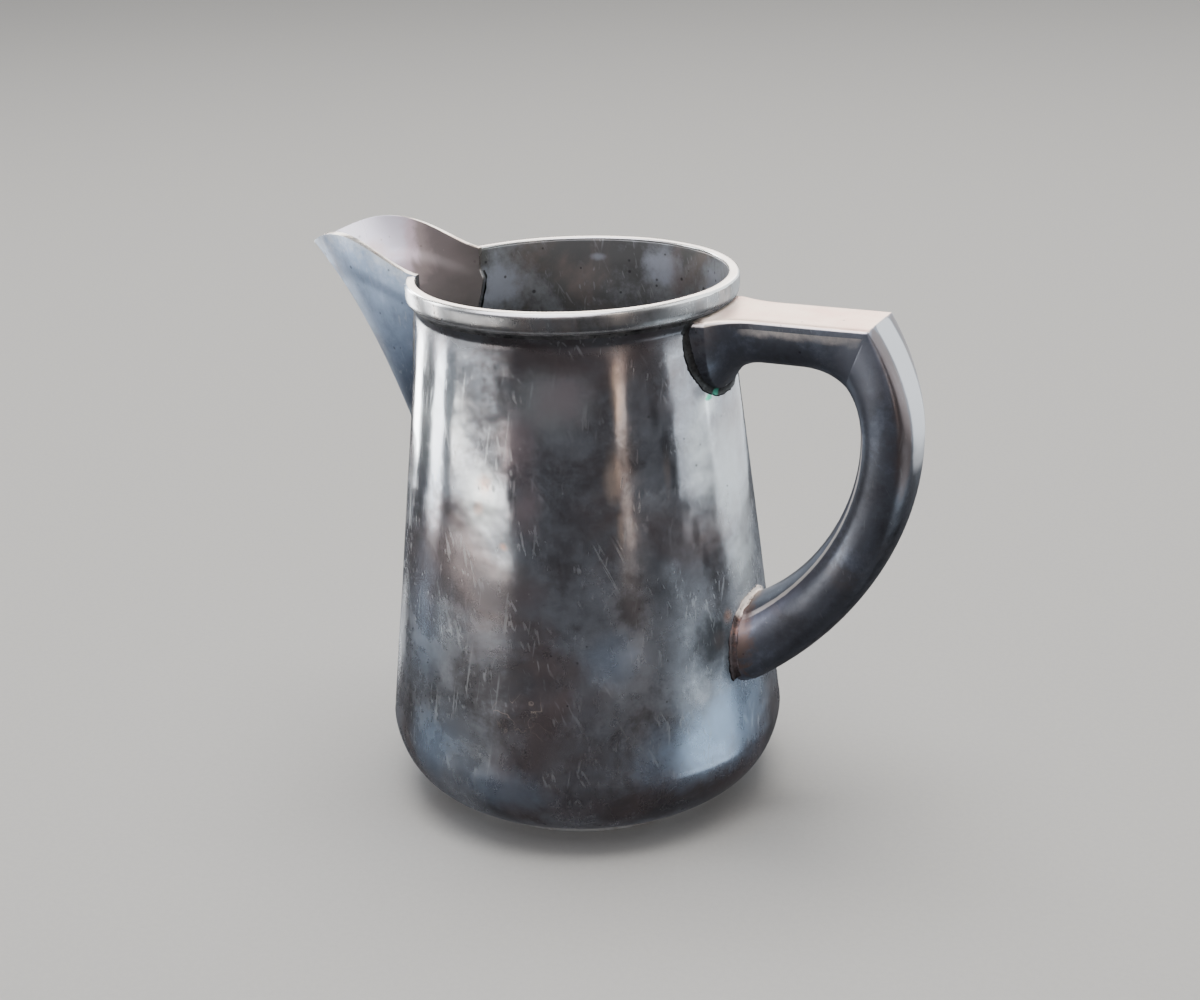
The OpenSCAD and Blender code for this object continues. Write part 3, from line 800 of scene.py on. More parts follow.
def spout_material(look):
    """Slate blue tarnish on the outside of the spout, darker low down and along the keel."""
    material, tree, shader, vector = start_material("Tarnished spout")
    deep = use(tree, "Tarnish", Vector=vector, Size=75.0, Amount=0.02, Contrast=0.8,
               Bare=(0.60, 0.70, 0.88, 1), Middle=rgba(look.spout_slate), Deep=(0.13, 0.17, 0.24, 1),
               Warm=(0.20, 0.19, 0.25, 1))
    drift = calc(tree, "MULTIPLY_ADD", grain(tree, vector, 160.0, 4.0), 0.3, mask(tree, "along"))
    low = remap(tree, drift, 0.95, 0.45, 0.0, 0.75)
    colour = blend(tree, low, deep["Colour"], (0.055, 0.07, 0.10, 1))
    keel_line = remap(tree, mask(tree, "keel"), 0.55, 1.0, 0.0, 0.5)
    colour = blend(tree, keel_line, colour, (0.09, 0.10, 0.12, 1))
    lines = use(tree, "Scratches", Vector=vector, Scale=1700.0, Share=0.45)["Mask"]
    colour = blend(tree, calc(tree, "MULTIPLY", lines, 0.35), colour, (0.6, 0.65, 0.72, 1))
    pits = use(tree, "Pits", Vector=vector, Scale=480.0, Size=0.26, Share=0.2)["Mask"]
    colour = blend(tree, calc(tree, "MULTIPLY", pits, 0.7), colour, (0.03, 0.035, 0.06, 1))
    edge = calc(tree, "MULTIPLY_ADD", grain(tree, vector, 600.0, 4.0, 0.7), 0.25, mask(tree, "along"))
    colour = blend(tree, remap(tree, edge, 1.05, 1.16, 0.0, 0.4), colour, rgba(look.bright))
    rough = calc(tree, "MULTIPLY_ADD", deep["Depth"], 0.2, 0.27)
    height = use(tree, "Worked metal", Vector=vector, Waves=0.4, Scratches=lines, Pits=pits)["Height"]
    finish_metal(tree, shader, colour, rough, height, metallic=0.8)
    return material


def spout_inside_material(look):
    """Rainbow tarnish inside the spout: lavender and pink near the tip, brown grime lower."""
    material, tree, shader, vector = start_material("Spout inside")
    cloud = grain(tree, vector, 110.0, 5.0, 0.6, 0.5)
    place = calc(tree, "MULTIPLY_ADD", calc(tree, "SUBTRACT", cloud, 0.5), 0.4, mask(tree, "grime"))
    colour = ramp(tree, place, [
        (0.0, (1.0, 0.98, 1.0)), (0.32, (0.96, 0.92, 1.0)), (0.42, (0.82, 0.68, 0.72)),
        (0.50, (0.44, 0.37, 0.35)), (0.62, (0.26, 0.23, 0.22)), (1.0, (0.16, 0.15, 0.14))])
    glow = spot(tree, vector, (-44.5 * MM, 4 * MM, 97.5 * MM), (5, 4, 4), 0.5, 300.0, 0.9)
    colour = blend(tree, calc(tree, "MULTIPLY", glow, 0.7), colour, (0.92, 0.70, 0.58, 1))
    specks = use(tree, "Pits", Vector=vector, Scale=560.0, Size=0.26, Share=0.3)["Mask"]
    colour = blend(tree, calc(tree, "MULTIPLY", specks, 0.45), colour, (0.05, 0.045, 0.04, 1))
    drops = use(tree, "Pits", Vector=vector, Scale=700.0, Size=0.2, Share=0.14)["Mask"]
    colour = blend(tree, calc(tree, "MULTIPLY", drops, 0.5), colour, (0.55, 0.46, 0.40, 1))
    lines = use(tree, "Scratches", Vector=vector, Scale=1700.0, Share=0.4)["Mask"]
    rough = calc(tree, "MULTIPLY_ADD", mask(tree, "grime"), 0.22, 0.24)
    height = use(tree, "Worked metal", Vector=vector, Waves=0.4, Scratches=lines, Pits=specks)["Height"]
    finish_metal(tree, shader, colour, rough, height, metallic=0.55)
    return material


def handle_material(look):
    """The handle: warm worn top, brown worn ridge, charcoal flanks with a blue sheen, a painted sheen at
    the elbow, a painted highlight down the bow's back, pale edge lines partly painted highlight, and
    painted shade at the upper joint and low on the back.
    """
    material, tree, shader, vector = start_material("Handle")
    elbow = (ELBOW_REACH - 2 * MM, -HANDLE_W, ARM_Z - 7 * MM)
    deep = use(tree, "Tarnish", Vector=vector, Size=85.0, Amount=0.02, Contrast=0.8,
               Bare=rgba(look.handle_sheen), Middle=rgba(look.handle_flank), Deep=(0.09, 0.09, 0.10, 1),
               Warm=(0.18, 0.16, 0.16, 1))
    colour = deep["Colour"]
    # Painted sheen: a pale blue-grey patch on the flank at the elbow.
    bloom = spot(tree, vector, elbow, (7, 5, 11), 0.4, 180.0, 0.95)
    colour = blend(tree, calc(tree, "MULTIPLY", bloom, 0.6), colour, (0.44, 0.46, 0.54, 1))
    ragged = calc(tree, "SUBTRACT", grain(tree, vector, 420.0, 5.0, 0.65), 0.5)
    top = remap(tree, calc(tree, "MULTIPLY_ADD", ragged, 0.35, mask(tree, "top")), 0.3, 0.6)
    warm = blend(tree, remap(tree, grain(tree, vector, 120.0, 4.0), 0.35, 0.7),
                 rgba(look.handle_top), rgba(look.handle_top_rose))
    colour = blend(tree, top, colour, warm)
    ridge = remap(tree, calc(tree, "MULTIPLY_ADD", ragged, 0.5, mask(tree, "ridge")), 0.35, 0.8, 0.0, 0.8)
    colour = blend(tree, ridge, colour, rgba(look.ridge_brown))
    # Painted highlight: pale grey down the bow's back where the sheet of light shows.
    back = remap(tree, calc(tree, "MULTIPLY_ADD", ragged, 0.3, mask(tree, "back")), 0.3, 0.75, 0.0, 0.9)
    colour = blend(tree, back, colour, (0.60, 0.60, 0.62, 1))
    # Pale edge lines from the wear mask, partly wear, partly a painted highlight.
    bright = remap(tree, calc(tree, "MULTIPLY_ADD", ragged, 0.4, mask(tree, "wear")), 0.35, 0.7)
    colour = blend(tree, bright, colour, (0.88, 0.80, 0.74, 1))
    # Painted shade: the shade mask darkens the crevice at the upper joint and the lower part of the bow's
    # back.
    grime = remap(tree, calc(tree, "ADD", ragged, mask(tree, "shade")), 0.35, 0.8, 0.0, 0.85)
    colour = blend(tree, grime, colour, rgba(look.black))
    rust = remap(tree, calc(tree, "MULTIPLY_ADD", ragged, 1.2, mask(tree, "rust")), 0.45, 0.9, 0.0, 0.85)
    colour = blend(tree, rust, colour, (0.25, 0.17, 0.14, 1))
    lines = use(tree, "Scratches", Vector=vector, Scale=1760.0, Share=0.35)["Mask"]
    colour = blend(tree, calc(tree, "MULTIPLY", lines, 0.12), colour, (0.62, 0.62, 0.62, 1))
    pits = use(tree, "Pits", Vector=vector, Scale=640.0, Size=0.2, Share=0.12)["Mask"]
    colour = blend(tree, calc(tree, "MULTIPLY", pits, 0.5), colour, rgba(look.black))
    rough = calc(tree, "MULTIPLY_ADD", deep["Depth"], 0.2, 0.24)
    rough = calc(tree, "MULTIPLY_ADD", top, 0.08, rough)
    height = use(tree, "Worked metal", Vector=vector, Waves=0.3, Scratches=lines, Pits=pits)["Height"]
    finish_metal(tree, shader, colour, rough, height, metallic=0.9)
    return material


def solder_material(name, look, base, stain, stain_amount=0.0):
    """Lumpy, pitted solder with a stain that follows the joint's stain mask."""
    material, tree, shader, vector = start_material(name)
    deep = use(tree, "Tarnish", Vector=vector, Size=220.0, Amount=0.05, Contrast=1.2,
               Bare=tuple(min(1.0, c * 2.0) for c in base) + (1.0,), Middle=rgba(base),
               Deep=tuple(c * 0.25 for c in base) + (1.0,), Warm=tuple(c * 0.6 for c in base) + (1.0,))
    ragged = calc(tree, "SUBTRACT", grain(tree, vector, 900.0, 5.0, 0.7), 0.5)
    stained = calc(tree, "MULTIPLY_ADD", ragged, 1.1, calc(tree, "ADD", mask(tree, "stain"), stain_amount))
    colour = blend(tree, remap(tree, stained, 0.35, 0.8), deep["Colour"], rgba(stain))
    # Pale where the wear mask is high; on the lower handle joint's top this is partly wear and partly a
    # painted highlight.
    bright = remap(tree, calc(tree, "MULTIPLY_ADD", ragged, 0.6, mask(tree, "wear")), 0.4, 0.8)
    colour = blend(tree, bright, colour, (0.60, 0.52, 0.46, 1))
    pits = use(tree, "Pits", Vector=vector, Scale=1500.0, Size=0.45, Share=0.45)["Mask"]
    colour = blend(tree, calc(tree, "MULTIPLY", pits, 0.8), colour, rgba(look.black))
    rough = calc(tree, "MULTIPLY_ADD", deep["Depth"], 0.25, 0.32)
    height = use(tree, "Worked metal", Vector=vector, Waves=0.8, Scratches=0.0, Pits=pits)["Height"]
    finish_metal(tree, shader, colour, rough, height, metallic=0.85, bump=0.6)
    return material


def base_material(look):
    """The dull base, with fine rings from spinning."""
    material, tree, shader, vector = start_material("Tarnished base")
    deep = use(tree, "Tarnish", Vector=vector, Size=60.0, Amount=0.15, Contrast=1.1,
               Bare=(0.36, 0.37, 0.38, 1), Middle=(0.17, 0.17, 0.18, 1), Deep=(0.05, 0.05, 0.05, 1),
               Warm=(0.14, 0.11, 0.09, 1))
    rings = add(tree, "TexWave", {"Vector": vector, "Scale": 260.0, "Distortion": 0.6, "Detail": 2.0},
                wave_type="RINGS", rings_direction="Z").outputs["Fac"]
    colour = blend(tree, calc(tree, "MULTIPLY", rings, 0.2), deep["Colour"], (0.4, 0.4, 0.4, 1))
    pits = use(tree, "Pits", Vector=vector, Scale=600.0, Size=0.3, Share=0.25)["Mask"]
    colour = blend(tree, calc(tree, "MULTIPLY", pits, 0.6), colour, rgba(look.black))
    rough = calc(tree, "MULTIPLY_ADD", deep["Depth"], 0.2, 0.34)
    height = use(tree, "Worked metal", Vector=vector, Waves=0.3, Scratches=rings, Pits=pits)["Height"]
    finish_metal(tree, shader, colour, rough, height, metallic=0.9)
    return material


def floor_material(look):
    """Pale matt board with the faintest tooth."""
    material, tree, shader, vector = start_material("Pale floor")
    tooth = grain(tree, vector, 900.0, 3.0, 0.6)
    darker = tuple(c * 0.97 for c in look.floor) + (1.0,)
    colour = blend(tree, remap(tree, tooth, 0.3, 0.7), rgba(look.floor), darker)
    tree.links.new(colour, shader.inputs["Base Color"])
    shader.inputs["Roughness"].default_value = 0.9
    shader.inputs["Specular IOR Level"].default_value = 0.0
    relief = add(tree, "Bump", {"Strength": 0.08, "Distance": 0.2 * MM, "Height": tooth})
    tree.links.new(relief.outputs["Normal"], shader.inputs["Normal"])
    return material


# ---------- Pieces ----------


def notch_angles(heights, columns):
    """For each height, angles round the body that stop at the spout's joint."""
    s = (heights - ROOT_Z) / SPOUT_DROP
    w = np.where(s > 0, joint_w(s), 0.0)
    stop = np.pi - np.arcsin(np.clip(w / wall_r(heights), 0, 1))
    return np.linspace(-1, 1, columns)[None, :] * stop[:, None]


def make_body(look):
    """The wall, with its rounded shoulder, its flare and its cut-out for the spout."""
    top = JUG_H - 0.5 * MM
    turn = np.linspace(np.pi / 2, 0, 30)
    shoulder = [np.stack([FOOT_R + (BODY_R - inset - FOOT_R) * np.cos(turn) ** SHOULDER_POWER,
                          SHOULDER_H - (SHOULDER_H - FOOT_H - inset) * np.sin(turn) ** SHOULDER_POWER], -1)
                for inset in (0, WALL_T)]
    heights = np.concatenate([np.linspace(SHOULDER_H, ROOT_Z, 60)[1:],
                              ROOT_Z + (FLARE_Z - ROOT_Z) * np.linspace(0, 1, 56)[1:] ** 1.25,
                              np.linspace(FLARE_Z, top, 24)[1:]])
    bend = np.array([float(wall_r(FLARE_Z - 11 * MM)) - WALL_T, FLARE_Z - 11 * MM])
    mouth = np.array([LIP_R - WALL_T, JUG_H])
    opening = curve(bend, bend + (-0.7 * MM, 6.3 * MM), mouth - (0.3 * MM, 6.3 * MM), mouth,
                    np.linspace(0, 1, 40))
    lining = np.where(heights < bend[1], wall_r(heights) - WALL_T,
                      np.interp(heights, opening[:, 1], opening[:, 0]))
    outside = np.vstack([[(FOOT_IN, FOOT_H)], shoulder[0], np.stack([wall_r(heights), heights], -1)])
    inside = np.vstack([[(FOOT_IN, FOOT_H + WALL_T)], shoulder[1], np.stack([lining, heights], -1)])
    outline = np.vstack([outside, inside[::-1]])
    columns = 361
    points = lathe(outline, notch_angles(np.maximum(outline[:, 1], SHOULDER_H), columns))
    calm = smooth((outline[:, 1] - 4 * MM) / (8 * MM)) * smooth((FLARE_Z - outline[:, 1]) / (6 * MM))
    points = dented(points, inward_axis(points) * calm[:, None, None], 0.22 * MM, 13 * MM, 3.0)
    body = grid_object("body", points, closed_rows=True, edge_strips=len(outside))
    faces_inside = len(outside) * (columns - 1)
    for index, face in enumerate(body.data.polygons):
        face.material_index = 1 if index >= faces_inside else 0
    weld(body)
    seat(body, "tarnished_body", "body_wall", materials=[body_material(look), bowl_material(look)])


def make_rim(look):
    """The rim moulding, whose top also covers the wall's edge, and the dark cove under it."""
    inner = LIP_R - WALL_T
    corners = [(LIP_R, BAND_Z), (RIM_R - 0.3 * MM, BAND_Z), (RIM_R, BAND_Z + 0.9 * MM),
               (RIM_R, JUG_H - 0.6 * MM), (RIM_R - 0.35 * MM, JUG_H), (inner, JUG_H),
               (inner, JUG_H - 0.5 * MM), (LIP_R, JUG_H - 0.5 * MM)]
    radii = [0, 0.25 * MM, 0.6 * MM, 0.5 * MM, 0.3 * MM, 0.4 * MM, 0, 0]
    outline = rounded_loop(corners, radii)
    stop = np.pi - np.arcsin((MOUTH_W + 0.05 * MM) / LIP_R)
    columns = 420
    angles = np.linspace(-stop, stop, columns)
    points = lathe(outline, angles)
    wobble = np.array([ripple((np.cos(a) * 3, np.sin(a) * 3, 0), 0.9, 8.0) for a in angles])
    high_share = smooth((outline[:, 1] - (BAND_Z + 1 * MM)) / (2 * MM))
    points[..., 2] += high_share[:, None] * (wobble - 1)[None, :] * 0.07 * MM
    wear = smooth((outline[:, 1] - (JUG_H - 0.75 * MM)) / (0.5 * MM))
    # The bright line along the rounded lower edge is partly wear and partly a painted highlight.
    low_edge = np.exp(-(((outline[:, 1] - (BAND_Z + 0.45 * MM)) / (0.35 * MM)) ** 2))
    wear = np.clip(wear + 0.75 * low_edge * (outline[:, 0] > LIP_R + 0.4 * MM), 0, 1)
    # Painted shade on the moulding's underside.
    shade = smooth((BAND_Z + 0.3 * MM - outline[:, 1]) / (0.4 * MM))
    rim = grid_object("rim_moulding", points, closed_rows=True, caps="columns",
                      masks={"wear": wear[:, None], "shade": shade[:, None]})
    seat(rim, "worn_rim", "rim_band", materials=[rim_material(look)])

    low = BAND_Z - 0.9 * MM
    heights = np.linspace(low, BAND_Z, 9)
    share = (heights - low) / (BAND_Z - low)
    front = np.stack([wall_r(heights) + (0.03 + 0.55 * share**2.4) * MM, heights], -1)
    behind = np.stack([wall_r(heights[::-1]) - 0.1 * MM, heights[::-1]], -1)
    ring = np.vstack([front, behind])
    cove = grid_object("rim_cove_solder", lathe(ring, angles), closed_rows=True, caps="columns")
    seat(cove, "dark_solder", "rim_solder",
         materials=[solder_material("Cove solder", look, (0.16, 0.16, 0.16), (0.05, 0.05, 0.05))])


def make_spout(look):
    """The spout's curved sheet, with a thick worn lip."""
    rows, columns = 120, 181
    s = 0.004 + (1 - 0.004) * (1 - (1 - np.linspace(0, 1, rows)) ** 1.3)
    side = np.linspace(0, np.pi, columns)
    s_grid, side_grid = np.meshgrid(s, side, indexing="ij")
    points = spout_point(s_grid, side_grid)
    middle = np.sin(side_grid) ** 0.5
    to_axis = inward_axis(points) * (middle * np.clip(1.1 - s_grid, 0, 1))[..., None]
    points = dented(points, to_axis, 0.18 * MM, 9 * MM, 7.0)
    from_tip = np.linalg.norm(points - np.array([-SPOUT_REACH, 0, TIP_Z]), axis=-1)
    grime = np.clip((from_tip - 5 * MM) / (30 * MM), 0, 1)
    grime = np.clip(grime + smooth((0.82 - s_grid) / 0.25) * 0.4, 0, 1)
    spout = grid_object("pouring_spout", points, flip=True,
                        masks={"along": s_grid, "keel": np.sin(side_grid) ** 6, "grime": grime})
    thicken(spout, SPOUT_T, inside_slot=1, edge_slot=2, edge_round=0.32 * MM)
    seat(spout, "tarnished_spout", "spout",
         materials=[spout_material(look), spout_inside_material(look),
                    silver_material("Worn lip", look, (0.56, 0.56, 0.55), -0.1)])


def fillet(name, near, far, free, lumps=0.15, seed=1.0, masks=None, flip=False):
    """A hollow solder fillet along a joint, of uneven size, from three matching lines."""
    near, far, free = (np.asarray(p, float) for p in (near, far, free))
    uneven = np.array([1 + lumps * ripple(p, 1.6 * MM, seed) + lumps * ripple(p, 0.5 * MM, seed + 3)
                       for p in near.tolist()])[:, None]
    far = near + (far - near) * uneven
    free = near + (free - near) * uneven
    middle = near + (far + free - 2 * near) * 0.18
    steps = []
    for t in np.linspace(0, 1, 9):
        steps.append((1 - t) ** 2 * far + 2 * (1 - t) * t * middle + t**2 * free)
    sunk = near - ((far + free) / 2 - near) * 0.3
    grid = np.stack([*steps, sunk], 1)
    return grid_object(name, grid, closed_columns=True, masks=masks, flip=flip, caps="rows")


def make_spout_solder(look):
    """The fillet outside the spout's joint and the thin pitted line inside it."""
    count = 220
    i = np.linspace(-1, 1, count)
    side = np.sign(i)
    top = 1 - 4.6 * MM / SPOUT_DROP
    s = top * np.abs(i) ** 1.5
    step = 0.004
    dw = joint_w(s + step) - joint_w(np.maximum(s - step, 0))
    dz = joint_z(s + step) - joint_z(np.maximum(s - step, 0))
    out = np.stack([side * dz, -dw], -1) / np.hypot(dz, dw)[:, None]
    on_joint = np.stack([side * joint_w(s), joint_z(s)], -1)

    grey = solder_material("Spout solder", look, (0.20, 0.20, 0.21), (0.06, 0.07, 0.09), 0.25)
    near = on_wall(on_joint, -0.1 * MM, -1)
    far = on_wall(on_joint + out * 0.75 * MM, -0.03 * MM, -1)
    free = near - np.array([0.8 * MM, 0, 0])
    outside = fillet("spout_solder_outside", near, far, free, seed=2.0)
    seat(outside, "grey_solder", "spout_solder", materials=[grey])

    for label, sign in (("near", -1.0), ("far", 1.0)):
        s = np.linspace(0.25, 0.992, 90)
        yz = np.stack([sign * (joint_w(s) - 0.1 * MM), joint_z(s)], -1)
        near = on_wall(yz, -WALL_T + 0.05 * MM, -1)
        far = on_wall(yz + np.array([sign * 0.45 * MM, 0]), -WALL_T - 0.02 * MM, -1)
        free = near + np.array([-0.35 * MM, -sign * (SPOUT_T * 0.2 + 0.2 * MM), 0])
        seam = fillet("spout_seam_" + label, near, far, free, lumps=0.35, seed=5.0 + sign, flip=sign < 0)
        seat(seam, "grey_solder", materials=[
            solder_material("Spout seam " + label, look, (0.05, 0.05, 0.05), (0.12, 0.11, 0.10), -0.2)])


def handle_rows():
    """Rows along the handle, packed closer at the two joints and at the corner."""
    even = np.linspace(0, LAST_ROW, 260)
    corner = CORNER_ROW + np.linspace(-1, 1, 25) ** 3 * 1.2
    ends = np.concatenate([np.linspace(0, 1, 10), LAST_ROW - np.linspace(0, 1, 10)])
    return np.unique(np.round(np.concatenate([even, corner, ends]), 4))


def make_handle(look):
    """Both halves of the hollow handle, as smooth skins that meet at their seam."""
    rows = handle_rows()
    finish = handle_material(look)
    columns = 61
    back = np.array([back_row(u, columns) for u in rows])
    t = np.linspace(-1, 1, columns)
    v = 1 - (1 - np.abs(t)) ** 2.4
    arm = np.array([smooth((CORNER_ROW + 0.6 - u) / 1.2) for u in rows])[:, None]
    bow = 1 - arm
    far_along = np.clip((rows - CORNER_ROW) / (LAST_ROW - CORNER_ROW), 0, 1)[:, None]
    top_mask = arm * smooth((0.995 - v) / 0.05)[None, :]
    ridge = bow * np.exp(-(((v - 0.76) / 0.26) ** 2))[None, :] * smooth((0.5 - far_along) / 0.25)
    # Painted highlight: a pale area down the upper bow's back, shaped to where the sheet of light shows in
    # it.
    middle = bow * smooth((0.66 - v) / 0.3)[None, :] * smooth((0.36 - far_along) / 0.1)
    # Pale line along the top arm's edges, partly wear, partly a painted highlight.
    wear = arm * np.exp(-(((v - 0.985) / 0.012) ** 2))[None, :]
    # Painted shade: darkening at the upper joint's root and down the lower part of the bow's back.
    root = smooth((1.2 - rows) / 1.2)[:, None] * 0.6
    root = root + 0.56 * smooth((far_along - 0.22) / 0.26) * smooth((1 - v) / 0.35)[None, :]
    low_rust = smooth((rows - (LAST_ROW - 2.2)) / 2.2)[:, None] * 0.7
    shell = grid_object("handle_back_half", back, flip=True,
                        masks={"top": top_mask, "ridge": ridge, "back": middle, "wear": wear,
                               "shade": root, "rust": low_rust})
    weld(shell)
    thicken(shell, HANDLE_T, even=False)
    crisp(shell)
    seat(shell, "handle_silver", "handle_back", materials=[finish])
    # The pale sheet beside the jug shows in the body where the handle would hide it. The handle's
    # reflection in the body is painted instead, as a dark streak in the body's colour.
    shell.visible_glossy = False

    columns = 81
    belly = np.array([belly_row(u, columns) for u in rows])
    a = np.linspace(0, np.pi, columns)
    # Pale lines along the bow's inner edge and the arm's near top edge, partly wear, partly a painted
    # highlight.
    edge_wear_and_highlight = np.exp(-(((a - 0.9) / 0.09) ** 2))[None, :] * smooth((far_along - 0.08) / 0.2) * 0.8
    edge_wear_and_highlight = edge_wear_and_highlight + np.exp(-((a / 0.22) ** 2))[None, :] * arm * smooth((rows - 3) / 5)[:, None] * 0.55
    # Painted shade in the crevice under the upper joint's root.
    under = smooth((2.0 - rows) / 2.0)[:, None] * 0.5
    low_rust = smooth((rows - (LAST_ROW - 3.5)) / 3.5)[:, None] * 0.85
    shell = grid_object("handle_belly_half", belly,
                        masks={"top": np.zeros((1, 1)), "ridge": np.zeros((1, 1)),
                               "back": np.zeros((1, 1)), "wear": edge_wear_and_highlight, "shade": under, "rust": low_rust})
    weld(shell)
    thicken(shell, HANDLE_T, even=False)
    crisp(shell)
    seat(shell, "handle_silver", "handle_belly", materials=[finish])
    # The pale sheet beside the jug shows in the body where the handle would hide it. The handle's
    # reflection in the body is painted instead, as a dark streak in the body's colour.
    shell.visible_glossy = False


def handle_outline(u):
    """The handle's outline at a row, down one side, round its belly and up the other."""
    belly = belly_row(u, 90)
    back = back_row(u, 61)
    return np.vstack([back[8:0:-1], belly, back[-2:-10:-1]])


def make_handle_solder(look):
    """The fillets where the handle meets the wall, with their stains."""
    settings = (
        ("upper_joint_solder", "dark_solder", "upper_handle_solder", 0.0, 0.8,
         (0.05, 0.05, 0.05), (0.08, 0.38, 0.27)),
        ("lower_joint_solder", "copper_solder", "lower_handle_solder", float(LAST_ROW), LAST_ROW - 0.6,
         (0.10, 0.08, 0.08), (0.34, 0.20, 0.16)))
    for name, slot, node, u, onward_u, base, stain in settings:
        ends = handle_outline(u)
        onward = handle_outline(onward_u)
        centre = np.mean(handle_station(u), 0)
        along = np.gradient(ends[:, 1:], axis=0)
        out = np.stack([along[:, 1], -along[:, 0]], -1)
        out /= np.linalg.norm(out, axis=-1, keepdims=True)
        away = np.stack([ends[:, 1], ends[:, 2] - centre[1]], -1)
        out *= np.where((out * away).sum(-1, keepdims=True) < 0, -1, 1)
        run = onward - ends
        run /= np.linalg.norm(run, axis=-1, keepdims=True)
        yz = ends[:, 1:]
        near = on_wall(yz - out * 0.1 * MM, -0.1 * MM)
        wide = yz + out * JOINT_FILLET
        wide[:, 1] = np.minimum(wide[:, 1], BAND_Z - 0.1 * MM)
        far = on_wall(wide, -0.02 * MM)
        free = ends + run * JOINT_FILLET
        lowest = np.exp(-(((near[:, 2] - near[:, 2].min()) / (1.6 * MM)) ** 2))
        if node == "upper_handle_solder":
            stained = lowest * 0.9 * np.exp(-(((near[:, 1] + 4.5 * MM) / (1.1 * MM)) ** 2))
            worn = 0 * lowest
        else:
            stained = smooth((near[:, 2] - 30 * MM) / (8 * MM)) * 0.25 + 0.25
            # A pale band along the lower fillet's top, partly wear, partly a painted highlight.
            worn = np.exp(-(((near[:, 2] - near[:, 2].max() + 0.5 * MM) / (1.7 * MM)) ** 2))
        piece = fillet(name, near, far, free, lumps=0.2, seed=u + 1, flip=u < 1,
                       masks={"stain": stained[:, None], "wear": worn[:, None]})
        label = name.replace("_", " ").capitalize()
        seat(piece, slot, node, materials=[solder_material(label, look, base, stain)])


def make_foot(look):
    """The foot ring, the let-in base and the solder that holds it."""
    corners = [(FOOT_IN, 0), (FOOT_R - 0.6 * MM, 0), (FOOT_R, 0.7 * MM), (FOOT_R, FOOT_H),
               (FOOT_IN, FOOT_H)]
    outline = rounded_loop(corners, [0.3 * MM, 0.4 * MM, 0.5 * MM, 0.05 * MM, 0.05 * MM])
    ring = grid_object("foot_ring_worn", lathe(outline, full_turn(360)), closed_rows=True,
                       closed_columns=True)
    seat(ring, "worn_silver", "foot_ring",
         materials=[silver_material("Worn foot", look, (0.80, 0.80, 0.80), -0.2, metallic=0.1)])

    edge = FOOT_IN - 0.05 * MM
    r = np.linspace(0.02 * MM, edge, 40)
    under = FOOT_H + BASE_DOME * np.cos(np.pi / 2 * r / FOOT_IN) ** 2
    loop = np.vstack([np.stack([r, under], -1), np.stack([r[::-1], under[::-1] + WALL_T], -1)])
    base = grid_object("base_disc", lathe(loop, full_turn(240)), closed_rows=True,
                       closed_columns=True)
    seat(base, "tarnished_base", "base_plate", materials=[base_material(look)])

    z = FOOT_H + WALL_T
    bead = rounded_loop([(FOOT_IN - 0.7 * MM, z), (FOOT_IN + 0.7 * MM, z), (FOOT_IN, z + 0.45 * MM)],
                        [0.1 * MM, 0.1 * MM, 0.4 * MM])
    solder = grid_object("base_seam_solder", lathe(bead, full_turn(300)), closed_rows=True,
                         closed_columns=True)
    seat(solder, "grey_solder", "base_solder",
         materials=[solder_material("Base solder", look, (0.18, 0.18, 0.17), (0.10, 0.08, 0.06), 0.1)])


# ---------- Stage ----------


def panel(name, azimuth, distance, base, size, strength, colour, soft=True, seen_by_floor=False):
    """A softbox facing the jug. The azimuth is from the handle's side, in degrees."""
    data = bpy.data.lights.new(name, "AREA")
    data.shape = "RECTANGLE"
    data.size, data.size_y = size
    data.energy = strength * size[0] * size[1] * np.pi
    data.color = colour
    light = bpy.data.objects.new(name, data)
    a = np.radians(azimuth)
    light.location = (distance * np.cos(a), distance * np.sin(a), base + size[1] / 2)
    aim = Vector((0, 0, 0.05)) - light.location
    if not soft:
        aim.z = 0
    light.rotation_mode = "QUATERNION"
    light.rotation_quaternion = aim.to_track_quat("-Z", "Y")
    light.visible_camera = False
    light.visible_diffuse = seen_by_floor
    bpy.context.scene.collection.objects.link(light)
    return light


